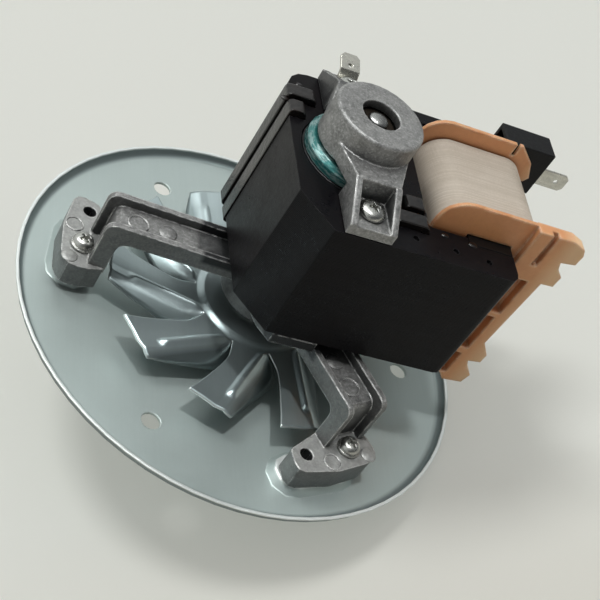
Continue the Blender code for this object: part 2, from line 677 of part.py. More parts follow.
def make_fan(axle):
    """The pressed cooling fan: a stepped hub and beaded blades with folded flaps, from one sheet."""
    bm = bmesh.new()
    bead = FAN_BEAD_HEIGHT
    rows = (
        blade_row((0.559, -0.070, 0.0), (0.542, 0.097, 0.0), (0.518, 0.203, -0.037),
                  (0.468, 0.296, -0.104), bead),
        blade_row((0.828, -0.182, 0.012), (0.832, 0.012, 0.0), (0.836, 0.087, -0.023),
                  (0.832, 0.145, -0.054), bead),
        blade_row((0.963, -0.253, 0.025), (0.990, -0.037, 0.006), (0.996, 0.017, -0.004),
                  (0.998, 0.058, -0.017), 0.0),
    )
    root_angles = [math.radians(a) for a in (-9.0, 3.0, 14.5, 18.5, 22.0, 24.0, 25.5)]
    hub_rings = ((SHAFT_RADIUS + GAP, FAN_STEP_HEIGHT), (FAN_STEP_RADIUS, FAN_STEP_HEIGHT),
                 (FAN_HUB_RADIUS, 0.0))
    first = None
    previous = None
    for blade in range(FAN_BLADES):
        azimuth = FAN_FIRST_BLADE + FULL * blade / FAN_BLADES
        spokes = []
        for angle in root_angles:
            spokes.append([bm.verts.new((*on_circle(r, azimuth + angle), z)) for r, z in hub_rings])
        lines = ([previous] if previous else []) + spokes
        for a, b in zip(lines, lines[1:]):
            for i in range(len(hub_rings) - 1):
                bm.faces.new((a[i], a[i + 1], b[i + 1], b[i]))
        first = first or spokes[0]
        previous = spokes[-1]
        line = [spoke[-1] for spoke in spokes]
        for row in rows:
            fresh = [bm.verts.new((*turned_place((x, y), azimuth), z)) for x, y, z in row]
            for i in range(len(line) - 1):
                bm.faces.new((line[i], fresh[i], fresh[i + 1], line[i + 1]))
            line = fresh
    for i in range(len(hub_rings) - 1):
        bm.faces.new((previous[i], previous[i + 1], first[i + 1], first[i]))
    bmesh.ops.translate(bm, verts=bm.verts, vec=(0, 0, FAN_HEIGHT))
    tin = material("pressed_aluminium", (0.42, 0.46, 0.45), 0.30, 0.9)
    fan = piece("cooling_fan", bm, tin, axle)
    if fan.data.polygons[0].normal.z < 0:
        fan.data.flip_normals()
    sheet = fan.modifiers.new("sheet", "SOLIDIFY")
    sheet.thickness = FAN_SHEET
    sheet.offset = -1
    top = FAN_HEIGHT + FAN_STEP_HEIGHT - FAN_SHEET - GAP
    collar = tube(SHAFT_RADIUS + GAP, FAN_COLLAR_RADIUS, FAN_HEIGHT - FAN_SHEET - FAN_COLLAR_HEIGHT, top, 14)
    piece("fan_collar", collar, material("collar_brass", (0.45, 0.33, 0.14), 0.35, 1.0), axle)


# Bearings

def make_bearing(name, place, axle):
    """One sintered ball bush with its felt, spring clip and thrust washer; heights count from the stack."""
    seat = CUP_HEIGHT - CUP_WALL
    centre = seat - BALL_BELOW_SEAT
    half = BALL_LENGTH / 2
    cavity = CUP_RADIUS - CUP_WALL
    profile = [(SHAFT_RADIUS + GAP / 2, centre - half)]
    spread = math.asin(half / BALL_RADIUS)
    profile += [(BALL_RADIUS * math.cos(a), centre + BALL_RADIUS * math.sin(a))
                for a in (-spread, -spread / 2, 0, spread / 2, spread)]
    profile += [(SHAFT_RADIUS + GAP / 2, centre + half)]
    clip_low = centre - half - GAP - CLIP_THICK
    shapes = {
        f"{name}_bearing": (turned(profile, 12), ("sintered_bronze", (0.30, 0.19, 0.09), 0.5, 0.9), None),
        f"{name}_felt": (tube(FELT_INNER, cavity - GAP, clip_low + CLIP_THICK + 0.0006, seat - 0.0014, 12),
                         ("oil_felt", (0.32, 0.27, 0.18), 0.95, 0.0), None),
        f"{name}_spring_clip": (tube(CLIP_INNER, cavity - GAP, clip_low, clip_low + CLIP_THICK, 12),
                                ("spring_steel", (0.16, 0.16, 0.17), 0.35, 1.0), None),
        f"{name}_thrust_washer": (tube(SHAFT_RADIUS + GAP, WASHER_RADIUS, 0.0, WASHER_THICK, 12),
                                  ("fibre_washer", (0.10, 0.05, 0.03), 0.7, 0.0), axle),
    }
    shift = clip_low + CLIP_THICK - WASHER_THICK - GAP
    for label, (bm, (look, colour, rough, metal), parent) in shapes.items():
        if label.endswith("washer"):
            bm.transform(Matrix.Translation((0, 0, shift)))
        bm.transform(place)
        piece(label, bm, material(look, colour, rough, metal), parent)


# Screws

def cross_slots(low, high, at):
    """The cross recess of a screw head."""
    reach = SCREW_HEAD_RADIUS * 0.6
    arms = [block((-reach, -SCREW_SOCKET, low), (reach, SCREW_SOCKET, high)),
            block((-SCREW_SOCKET, -reach, low), (SCREW_SOCKET, reach, high))]
    for bm in arms:
        bm.transform(Matrix.Translation((*at, 0)))
    return arms


def make_screw(name, at, seat, length, washer=0.0):
    """A pan-head screw whose head seats at a height and whose shank goes down."""
    zinc = material("zinc_screw", (0.55, 0.55, 0.52), 0.30, 1.0)
    head = SCREW_HEAD_RADIUS
    base = seat + GAP
    profile = [(0, base + SCREW_HEAD_HEIGHT), (head * 0.6, base + SCREW_HEAD_HEIGHT * 0.92),
               (head * 0.94, base + SCREW_HEAD_HEIGHT * 0.45)]
    if washer:
        profile = [(r * 0.86, z + washer) for r, z in profile]
        profile += [(head + 0.0006, base + washer), (head + 0.0006, base)]
    else:
        profile += [(head, base)]
    profile += [(SCREW_RADIUS, base), (SCREW_RADIUS, seat - length + 0.0005),
                (SCREW_RADIUS * 0.6, seat - length), (0, seat - length)]
    bm = turned(profile, 12)
    bm.transform(Matrix.Translation((*at, 0)))
    screw = piece(name, bm, zinc)
    top = base + SCREW_HEAD_HEIGHT + washer
    for i, slot in enumerate(cross_slots(top - SCREW_HEAD_HEIGHT * 0.6, top + 0.001, at)):
        cut(screw, piece(f"{name}_slot_{i}", slot))


def make_screws():
    """Two long screws through brackets and stack, and one in each foot."""
    floor = STACK_TOP + FOOT_FLOOR
    length = floor - STACK_BOTTOM + BRIDGE_HIGH - 0.001
    make_screw("bracket_screw_front", (0, -SCREW_Y), floor, length)
    make_screw("bracket_screw_rear", (0, SCREW_Y), floor + TAB_THICK + GAP, length)
    top = PLATE_THICK + PAD_HEIGHT + ARM_FOOT_HEIGHT
    for name, azimuth in zip(ARM_NAMES, ARM_AZIMUTHS):
        at = turned_place(ARM_FOOT_SCREW, azimuth)
        make_screw(f"foot_screw_{name}", at, top, ARM_FOOT_HEIGHT + PLATE_THICK + 0.0012, 0.0007)


# Bobbin and coil

def frame_lean(height):
    """How far the frame's right edge has moved in at a height counted from the middle."""
    return FRAME_LEAN * (0.0180 - height)


def frame_edge():
    """Right-hand edge of the front flange from top to bottom, with its two pairs of hooks."""
    right = FRAME_RIGHT
    tip = right + HOOK_REACH
    top = FLANGE_HALF_HEIGHT
    edge = [(right - 0.0012, top), (tip - 0.0012, top - 0.0018), (tip, top - 0.0041), (tip, top - 0.0081),
            (right, top - 0.0088), (right + 0.0014, top - 0.0120), (tip - 0.0006, top - 0.0141),
            (tip - 0.0006, top - 0.0184), (right, top - 0.0186)]
    foot = [(right, 0.0170 - top), (tip - 0.0006, 0.0120 - top), (tip - 0.0006, 0.0084 - top),
            (right, 0.0078 - top), (right + 0.0014, 0.0052 - top), (tip, 0.0018 - top),
            (tip - 0.0008, -0.0022 - top), (right - 0.0030, -0.0028 - top), (right - 0.0056, -top)]
    return [(x - frame_lean(z), MID_Z + z) for x, z in edge + foot]


def flange_outline(right_edge):
    """A flange in XZ: two rounded corners at the left and a given edge at the right."""
    left = FLANGE_LEFT
    top = FLANGE_HALF_HEIGHT
    radius = FLANGE_CORNER
    corner_down = arc((left + radius, MID_Z - top + radius), radius, 1.5 * math.pi, math.pi, 5)
    corner_up = arc((left + radius, MID_Z + top - radius), radius, math.pi, math.pi / 2, 5)
    return right_edge + corner_down + corner_up


def rear_edge():
    """Right-hand edge of the rear flange from top to bottom, with a lobe behind each terminal block."""
    right = REAR_FLANGE_RIGHT
    top = FLANGE_HALF_HEIGHT
    lobe = [(right - 0.0037, top), (right + 0.0022, top - 0.0050), (right + 0.0049, top - 0.0104),
            (right + 0.0038, top - 0.0122), (right, top - 0.0133)]
    return ([(x, MID_Z + z) for x, z in lobe]
            + [(x, MID_Z - z) for x, z in reversed(lobe)])


def make_bobbin():
    """Bobbin: a square tube between two flanges; the front one ends in a pocketed frame with hooks."""
    peach = material("peach_moulding", (0.72, 0.38, 0.20), 0.45)
    outer_y = FLANGE_OUTER_Y
    inner_y = outer_y - FLANGE_THICK
    front_y = -outer_y - FRAME_PROUD
    tube_low = (CORE_LEFT - BOBBIN_WALL, -outer_y + GAP, STACK_BOTTOM - BOBBIN_WALL)
    tube_high = (STACK_RIGHT + BOBBIN_WALL + GAP, outer_y - GAP, STACK_TOP + BOBBIN_WALL)
    bobbin = piece("bobbin", block(tube_low, tube_high), peach)
    join(bobbin, piece("flange_rear", slab_y(flange_outline(rear_edge()), inner_y, outer_y)))
    join(bobbin, piece("flange_front", slab_y(flange_outline(frame_edge()), -outer_y, -inner_y)))
    frame = frame_edge()
    frame += [(FRAME_LEFT, frame[-1][1]), (FRAME_LEFT, frame[0][1])]
    join(bobbin, piece("frame", slab_y(frame, front_y, -inner_y + GAP)))
    for i, (low, high) in enumerate(POCKETS):
        low *= FLANGE_HALF_HEIGHT
        high *= FLANGE_HALF_HEIGHT
        right = FRAME_RIGHT - FRAME_RAIL - frame_lean((low + high) / 2)
        pocket = block((FRAME_LEFT + FRAME_RUNG, front_y - 0.001, MID_Z + low),
                       (right, -outer_y + FLANGE_THICK / 2, MID_Z + high))
        cut(bobbin, piece(f"pocket_{i}", pocket))
    top = MID_Z + FLANGE_HALF_HEIGHT
    groove = block((GROOVE_X - GROOVE_WIDTH / 2, front_y - 0.001, top - GROOVE_LENGTH),
                   (GROOVE_X + GROOVE_WIDTH / 2, front_y + FRAME_PROUD * 0.8, top + 0.001))
    cut(bobbin, piece("frame_groove", groove))
    slot = block((SLOT_X - SLOT_WIDTH / 2, inner_y - 0.001, top - SLOT_LENGTH),
                 (SLOT_X + SLOT_WIDTH / 2, outer_y + 0.001, top + 0.001))
    cut(bobbin, piece("flange_slot", slot))
    bore = block((CORE_LEFT, -0.030, STACK_BOTTOM - GAP), (STACK_RIGHT + GAP, 0.030, STACK_TOP + GAP))
    cut(bobbin, piece("core_window", bore))


def coil_outline(inset):
    """The coil's rounded outline in XZ, moved in by an inset."""
    radius = COIL_CORNER - inset
    left = COIL_LEFT + inset
    right = COIL_RIGHT - inset
    half = COIL_HALF_HEIGHT - inset
    return rounded([(left, MID_Z - half, radius), (right, MID_Z - half, radius),
                    (right, MID_Z + half, radius), (left, MID_Z + half, radius)], 4)


def ring_along_y(outer, inner, half):
    """A closed ring between two outlines in XZ with the same number of points."""
    bm = bmesh.new()
    loops = []
    for outline, y in ((outer, -half), (outer, half), (inner, half), (inner, -half)):
        loops.append([bm.verts.new((x, y, z)) for x, z in outline])
    count = len(outer)
    for k, loop in enumerate(loops):
        for i in range(count):
            bm.faces.new((loops[k - 1][i - 1], loops[k - 1][i], loop[i], loop[i - 1]))
    return bm


def make_coil():
    """The winding on the bobbin and the wrap over it."""
    half = FLANGE_OUTER_Y - FLANGE_THICK - 2 * GAP
    copper = material("enamelled_wire", (0.40, 0.13, 0.05), 0.35, 0.8)
    cream = material("cream_wrap", (0.62, 0.56, 0.46), 0.75)
    skin = WRAP_THICK
    piece("coil_wrap", ring_along_y(coil_outline(0), coil_outline(skin), half), cream)
    inner = skin + GAP
    winding = piece("coil_winding", slab_y(coil_outline(inner), -half, half), copper)
    hole = block((CORE_LEFT - BOBBIN_WALL - GAP, -0.030, STACK_BOTTOM - BOBBIN_WALL - GAP),
                 (STACK_RIGHT + BOBBIN_WALL + 2 * GAP, 0.030, STACK_TOP + BOBBIN_WALL + GAP))
    cut(winding, piece("winding_hole", hole))


# Terminals

def make_terminal(name, side):
    """A black block on the rear flange's hooks, with a spade tab that points away from the motor."""
    black = material("black_moulding", (0.015, 0.015, 0.016), 0.55)
    tinned = material("tinned_brass", (0.60, 0.60, 0.56), 0.28, 1.0)
    near = FLANGE_OUTER_Y + GAP
    far = near + BLOCK_DEPTH
    outer_z = MID_Z + side * (FLANGE_HALF_HEIGHT - 0.0009)
    inner_z = outer_z - side * BLOCK_HEIGHT
    low, high = sorted((outer_z, inner_z))
    shell = piece(f"terminal_block_{name}", block((BLOCK_LEFT, near, low), (BLOCK_RIGHT, far, high)), black)
    wall = BLOCK_WALL
    inside = block((BLOCK_LEFT - wall, near + wall, low + wall),
                   (BLOCK_RIGHT - 3 * wall, far - wall, high - wall))
    cut(shell, piece(f"block_hollow_{name}", inside))
    middle_y = near + BLOCK_DEPTH * 0.42
    middle_z = outer_z - side * BLOCK_HEIGHT * 0.67
    half = TAB_WIDTH / 2
    slot = block((BLOCK_RIGHT - 4 * wall, middle_y - TAB_THICK / 2 - GAP, middle_z - half - GAP),
                 (BLOCK_RIGHT + wall, middle_y + TAB_THICK / 2 + GAP, middle_z + half + GAP))
    cut(shell, piece(f"block_slot_{name}", slot))
    tip = BLOCK_RIGHT + TAB_REACH
    taper = TAB_WIDTH * 0.2
    root = BLOCK_RIGHT - 4 * wall
    outline = [(root, -half), (tip - taper, -half), (tip, -half + taper), (tip, half - taper),
               (tip - taper, half), (root, half)]
    outline = [(x, middle_z + z) for x, z in outline]
    tab = slab_y(outline, middle_y - TAB_THICK / 2, middle_y + TAB_THICK / 2)
    made = piece(f"terminal_tab_{name}", tab, tinned)
    pin = rod(TAB_HOLE, -0.002, 0.002, 8)
    pin.transform(Matrix.Rotation(math.pi / 2, 4, "X"))
    pin.transform(Matrix.Translation((tip - TAB_WIDTH * 0.6, middle_y, middle_z)))
    cut(made, piece(f"tab_hole_{name}", pin))


def make_earth_tab():
    """The earth tab: an eye under the rear bracket screw and a spade that rises past the stack's edge."""
    tinned = material("tinned_brass", (0.60, 0.60, 0.56), 0.28, 1.0)
    half = TAB_WIDTH / 2
    base = STACK_TOP + FOOT_FLOOR + GAP
    eye_end = SCREW_Y - 0.0042
    bend = SCREW_Y + 0.0045
    rise = 0.0030
    run = 0.0016
    tip = bend + run + EARTH_REACH - 0.0040
    lift = rise + (tip - bend - run) * math.tan(EARTH_TILT)
    path = [(eye_end, 0), (bend, 0), (bend + run, rise), (tip, lift)]
    widths = [half * 0.9, half, half, half]
    bm = bmesh.new()
    rows = []
    for (y, z), width in zip(path, widths):
        rows.append([bm.verts.new((x * width, y, base + z)) for x in (-1, 1)])
    taper = TAB_WIDTH * 0.18
    end = [bm.verts.new((x * (half - taper), tip + taper, base + lift + taper * math.tan(EARTH_TILT)))
           for x in (-1, 1)]
    rows.append(end)
    for a, b in zip(rows, rows[1:]):
        bm.faces.new((a[0], a[1], b[1], b[0]))
    tab = piece("earth_tab", bm, tinned)
    if tab.data.polygons[0].normal.z < 0:
        tab.data.flip_normals()
    sheet = tab.modifiers.new("sheet", "SOLIDIFY")
    sheet.thickness = TAB_THICK
    sheet.offset = 1
    eye = rod(SCREW_RADIUS + GAP, base - 0.001, base + 0.002, 14, (0, SCREW_Y))
    spot = rod(TAB_HOLE, base, base + 2 * lift + 0.004, 8, (0, tip - TAB_WIDTH * 0.5))
    cut(tab, piece("earth_eye", eye), piece("earth_hole", spot))


def main():
    clear_scene()
    axle = bpy.data.objects.new("rotor_axle", None)
    bpy.context.scene.collection.objects.link(axle)
    make_plate()
    make_brackets()
    make_stack()
    make_rotor(axle)
    make_shaft(axle)
    make_fan(axle)
    above = Matrix.Translation((0, 0, STACK_TOP))
    below = Matrix.Translation((0, 0, STACK_BOTTOM)) @ Matrix.Diagonal((1, 1, -1, 1))
    make_bearing("upper", above, axle)
    make_bearing("lower", below, axle)
    make_screws()
    make_bobbin()
    make_coil()
    make_terminal("upper", 1)
    make_terminal("lower", -1)
    make_earth_tab()


main()
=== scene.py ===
"""Looks of the oven fan motor: finishes, rounded edges, wound coil, beaded fan, screws, thread and light."""

import json
import math

import bmesh
import bpy
from bpy.props import FloatProperty, FloatVectorProperty, IntProperty, PointerProperty
from mathutils import Matrix, Vector


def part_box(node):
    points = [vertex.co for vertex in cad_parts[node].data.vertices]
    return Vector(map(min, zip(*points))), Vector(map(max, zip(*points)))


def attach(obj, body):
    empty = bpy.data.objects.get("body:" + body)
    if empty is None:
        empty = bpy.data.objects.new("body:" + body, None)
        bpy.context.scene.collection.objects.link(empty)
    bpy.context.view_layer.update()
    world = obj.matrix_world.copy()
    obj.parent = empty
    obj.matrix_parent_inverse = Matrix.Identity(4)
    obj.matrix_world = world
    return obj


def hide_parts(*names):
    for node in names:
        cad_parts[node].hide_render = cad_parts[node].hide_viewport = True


bl_info = {
    "name": "Oven fan motor",
    "version": (1, 0, 0),
    "blender": (4, 5, 0),
    "location": "3D View > Sidebar > Motor",
    "description": "Dresses the packed oven fan motor: finishes, coil, fan, screws, thread, table and light",
    "category": "Object",
}

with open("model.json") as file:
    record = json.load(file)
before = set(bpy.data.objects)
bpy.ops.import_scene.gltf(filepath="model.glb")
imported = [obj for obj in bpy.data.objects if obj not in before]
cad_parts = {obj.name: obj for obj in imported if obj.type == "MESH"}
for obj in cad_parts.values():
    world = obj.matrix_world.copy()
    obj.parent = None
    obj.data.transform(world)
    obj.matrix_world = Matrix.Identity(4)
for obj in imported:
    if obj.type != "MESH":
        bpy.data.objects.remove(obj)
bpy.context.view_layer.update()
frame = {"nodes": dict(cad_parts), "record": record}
FULL = 2 * math.pi
STATOR = "stator"
ROTOR = "rotor"

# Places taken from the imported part
PLATE_RADIUS = 0.0750
FOOT_TOP = 0.0123               # upper face of the bracket's feet
CHANNEL_FLOOR = 0.0270          # inside the arms' channels
STACK_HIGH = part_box("lamination_core")[1].z
SCREW_Y = 0.0255
ARM_AZIMUTHS = [math.radians(a) for a in (175.5, 295.5, 55.5)]
ARM_NAMES = ("left", "front", "rear")
FOOT_SCREW = (0.0577, 0.0005)   # along an arm, across it
SHAFT_RADIUS = 0.0030
BOBBIN_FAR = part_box("bobbin")[1].x
RIM_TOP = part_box("mounting_plate")[1].z
SHAFT_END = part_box("shaft")[0].z
SHAFT_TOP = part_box("shaft")[1].z
THREAD_TOP = -0.0114
LEAN_AZIMUTH = math.radians(173)        # the motor rests on its rim there and on its shaft's end
SHAFT_GAP = 0.0003              # clearance round the shaft

# Bounds of the uneven looks: each mask runs from none at the first number to full at the second
# PLATE_EDGE bounds the rim's wall, which the plate's finish darkens with painted shade
PLATE_EDGE = (0.0712, 0.0728)           # from the axis
# BELOW_STACK bounds the lower bracket's side faces, which get painted shade
BELOW_STACK = (0.0360, 0.0340)          # heights of the lower bracket
SHADE_LOW, SHADE_HIGH = (0.0262, 0.0275), (0.0345, 0.0335)  # heights of the painted shade beneath the stack
SHADE_REACH = (0.0270, 0.0255)            # its distance from the axis, with Y times SHADE_SQUEEZE
SHADE_SQUEEZE = 0.72
# REAR_FOOT bounds the upper bracket's rear foot, which gets painted shade
REAR_FOOT = ((0.016, 0.020), (0.001, -0.003), (0.060, 0.064))   # Y, X and height
# FOOT_FACE bounds the feet's upper faces, which get painted light
FOOT_FACE = (0.018, 0.013)              # heights of the feet's upper faces
# FAN_FLAP bounds the folded flaps, which the fan's finish darkens with painted shade
FAN_FLAP = (0.0100, 0.0088)             # heights of the flaps below the fan's sheet
POCKET = (0.80, 0.35)                   # open sky over a spot, from free to hemmed in
UPRIGHT = (0.5, 0.2)                    # how far a side face looks up
LEVEL = (0.7, 0.95)                     # how far a level face looks up


def length(name, description, default, **more):
    """A size in metres."""
    return FloatProperty(name=name, description=description, default=default, min=0.0, precision=5,
                         unit="LENGTH", **more)


def colour(name, description, default):
    """A linear colour."""
    return FloatVectorProperty(name=name, description=description, default=default, size=3, min=0.0, max=1.0,
                               subtype="COLOR")


class MotorSizes(bpy.types.PropertyGroup):
    """Sizes that the looks use."""
    casting_edge: length("Casting edge", "Rounding of the castings' edges", 0.00035)
    moulding_edge: length("Moulding edge", "Rounding of the plastic mouldings' edges", 0.0003)
    sheet_edge: length("Sheet edge", "Rounding of sheet and stack edges", 0.00015)
    lamination: length("Lamination", "Thickness of one sheet of the stack", 0.0005)
    wire_pitch: length("Wire pitch", "Distance from one turn of the coil to the next", 0.00046)
    wire_depth: length("Wire depth", "Depth of the valley between two turns", 0.00014)
    fan_sheet: length("Fan sheet", "Thickness of the fan's sheet", 0.0008)
    fan_bead: length("Fan bead", "Height of the bead on each blade", 0.0011)
    fan_bead_half: length("Fan bead half width", "Half the width of each bead", 0.0018)
    fan_blades: IntProperty(name="Fan blades", description="Number of blades", default=10, min=3, max=24)
    thread_pitch: length("Thread pitch", "Pitch of the shaft's thread", 0.0010)
    mark_radius: length("Casting mark", "Radius of the round marks that the mould's pins leave", 0.0032)


class MotorColours(bpy.types.PropertyGroup):
    """Colours of the finishes."""
    zinc: colour("Plate", "Dull zinc plating", (0.44, 0.51, 0.495))
    casting: colour("Castings", "Zinc alloy as cast", (0.225, 0.227, 0.223))
    varnish: colour("Varnish", "Black stack varnish", (0.0045, 0.0045, 0.0058))
    teal: colour("End ring", "Teal lacquer on the rotor's end ring", (0.020, 0.150, 0.145))
    tin_sheet: colour("Fan", "Aluminium sheet", (0.44, 0.52, 0.53))
    peach: colour("Bobbin", "Peach moulding", (0.68, 0.315, 0.135))
    coil: colour("Coil", "Cream sleeve of the winding", (0.57, 0.51, 0.43))
    black: colour("Terminal blocks", "Black moulding", (0.005, 0.005, 0.0056))
    table: colour("Table", "Pale table", (0.72, 0.73, 0.68))


# Shader helpers

def feed(tree, inputs, values):
    """Sets inputs to values, or links them to sockets."""
    for key, value in values.items():
        if isinstance(value, bpy.types.NodeSocket):
            tree.links.new(value, inputs[key])
        else:
            inputs[key].default_value = value


def add(tree, kind, inputs=None, **settings):
    """A shader node with its settings, and its inputs set or linked."""
    node = tree.nodes.new("ShaderNode" + kind)
    for key, value in settings.items():
        setattr(node, key, value)
    feed(tree, node.inputs, inputs or {})
    return node


def times(tree, *masks):
    """Masks multiplied together."""
    product = masks[0]
    for mask in masks[1:]:
        product = maths(tree, "MULTIPLY", product, mask)
    return product


def blend(tree, factor, first, second, mode="MIX"):
    """The colour between two colours or sockets."""
    rgba = [v if isinstance(v, bpy.types.NodeSocket) else (*v, 1.0) for v in (first, second)]
    node = add(tree, "Mix", {0: factor, 6: rgba[0], 7: rgba[1]}, data_type="RGBA", blend_type=mode)
    return node.outputs[2]


def ramp(tree, value, low, high, out_low=0.0, out_high=1.0):
    """A value stretched from one range to another, and clamped."""
    node = add(tree, "MapRange", {"Value": value, "From Min": low, "From Max": high,
                                  "To Min": out_low, "To Max": out_high})
    return node.outputs["Result"]


def maths(tree, operation, first, second=0.0):
    """One step of arithmetic."""
    return add(tree, "Math", {0: first, 1: second}, operation=operation).outputs[0]


def own_place(tree):
    """The place on the object, in its own axes."""
    return add(tree, "TexCoord").outputs["Object"]


def axis_of(tree, vector, axis):
    """One axis of a vector."""
    return add(tree, "SeparateXYZ", {0: vector}).outputs[axis]


def face_slope(tree):
    """How far a face looks up: 1 when it is level, 0 when it is upright."""
    return axis_of(tree, add(tree, "NewGeometry").outputs["True Normal"], "Z")


def along(tree, vector, direction):
    """How far a vector goes along a direction."""
    return add(tree, "VectorMath", {0: vector, 1: direction}, operation="DOT_PRODUCT").outputs["Value"]


def stretched(tree, vector, by):
    """A vector with each axis multiplied."""
    return add(tree, "VectorMath", {0: vector, 1: by}, operation="MULTIPLY").outputs[0]


def from_axis(tree, squeeze=1.0):
    """The distance from the Z axis, with Y multiplied by a number first."""
    flat = stretched(tree, own_place(tree), (1.0, squeeze, 0.0))
    return add(tree, "VectorMath", {0: flat}, operation="LENGTH").outputs["Value"]


def noise(tree, scale, detail, place=None, **more):
    """Noise at a place, by default the place on the object."""
    inputs = {"Vector": place or own_place(tree), "Scale": scale, "Detail": detail, **more}
    return add(tree, "TexNoise", inputs).outputs[0]


def own_tone(tree, number):
    """A shade between 0 and 1 that belongs to a whole number."""
    return add(tree, "TexWhiteNoise", {"W": number}, noise_dimensions="1D").outputs["Value"]


def from_middle(tree, count):
    """How far a count is from the middle between two whole numbers, up to 0.5."""
    return maths(tree, "ABSOLUTE", maths(tree, "SUBTRACT", maths(tree, "FRACT", count), 0.5))


def seeing_rays(tree):
    """Two masks of rays: those of gloss and transmission, and these with the camera's."""
    path = add(tree, "LightPath").outputs
    sharp = maths(tree, "MAXIMUM", path["Is Glossy Ray"], path["Is Transmission Ray"])
    return sharp, maths(tree, "MAXIMUM", sharp, path["Is Camera Ray"])


def effect(name, inputs, outputs):
    """A new node group with named inputs and outputs."""
    group = bpy.data.node_groups.new(name, "ShaderNodeTree")
    for label, kind, default in inputs:
        socket = group.interface.new_socket(name=label, in_out="INPUT", socket_type="NodeSocket" + kind)
        socket.default_value = default
    for label, kind in outputs:
        group.interface.new_socket(name=label, in_out="OUTPUT", socket_type="NodeSocket" + kind)
    return group, group.nodes.new("NodeGroupInput").outputs, group.nodes.new("NodeGroupOutput").inputs


def grain_effect():
    """Cast, plated or moulded grain: a height for bumps and a mask for uneven colour."""
    group, given, result = effect("surface_grain", [("Scale", "Float", 900.0), ("Patches", "Float", 60.0)],
                                  [("Height", "Float"), ("Mottle", "Float")])
    fine = noise(group, given["Scale"], 3.0, Roughness=0.6)
    broad = noise(group, given["Patches"], 4.0, Roughness=0.6, Distortion=0.4)
    both = maths(group, "ADD", times(group, fine, 0.45), times(group, broad, 0.55))
    feed(group, result, {"Height": fine, "Mottle": ramp(group, both, 0.38, 0.62)})
    return group


def wear_and_sheen_effect():
    """Worn edges and painted edge highlights: a mask along edges, broken up by noise, and a normal that runs
    round them.
    """
    group, given, result = effect("edge_wear_and_sheen", [("Radius", "Float", 0.0006), ("Breakup", "Float", 500.0)],
                                  [("Mask", "Float"), ("Normal", "Vector")])
    soft = add(group, "Bevel", {"Radius": given["Radius"]}, samples=4).outputs["Normal"]
    plain = add(group, "NewGeometry").outputs["Normal"]
    edge = ramp(group, along(group, soft, plain), 0.95, 0.80)
    gaps = ramp(group, noise(group, given["Breakup"], 3.0), 0.36, 0.56)
    feed(group, result, {"Mask": times(group, edge, gaps), "Normal": soft})
    return group


def streak_effect():
    """Fine parallel marks of rolling, turning or drawing along one direction."""
    group, given, result = effect("drawn_streaks", [("Stretch", "Vector", (400.0, 400.0, 20.0))],
                                  [("Height", "Float"), ("Mask", "Float")])
    marks = noise(group, 1.0, 4.0, stretched(group, own_place(group), given["Stretch"]))
    feed(group, result, {"Height": marks, "Mask": ramp(group, marks, 0.35, 0.65)})
    return group


def sheets_effect():
    """The lines between the stacked sheets, on faces that stand along Z."""
    group, given, result = effect("stacked_sheets", [("Pitch", "Float", 0.0005)],
                                  [("Height", "Float"), ("Tone", "Float")])
    count = maths(group, "DIVIDE", axis_of(group, own_place(group), "Z"), given["Pitch"])
    upright = ramp(group, maths(group, "ABSOLUTE", face_slope(group)), 0.3, 0.1)
    tone = own_tone(group, maths(group, "FLOOR", count))
    groove = ramp(group, from_middle(group, count), 0.5, 0.36)
    keep = add(group, "Mix", {0: upright, 2: 1.0, 3: groove}, data_type="FLOAT").outputs[0]
    feed(group, result, {"Height": keep, "Tone": times(group, tone, upright)})
    return group


EFFECTS = {}


def use(tree, name, **values):
    """Places an effect group in a material and sets its inputs; the group is built once."""
    makers = {"grain": grain_effect, "wear_and_sheen": wear_and_sheen_effect, "streaks": streak_effect, "sheets": sheets_effect}
    if name not in EFFECTS:
        EFFECTS[name] = makers[name]()
    node = tree.nodes.new("ShaderNodeGroup")
    node.node_tree = EFFECTS[name]
    for key, value in values.items():
        node.inputs[key].default_value = value
    return node.outputs


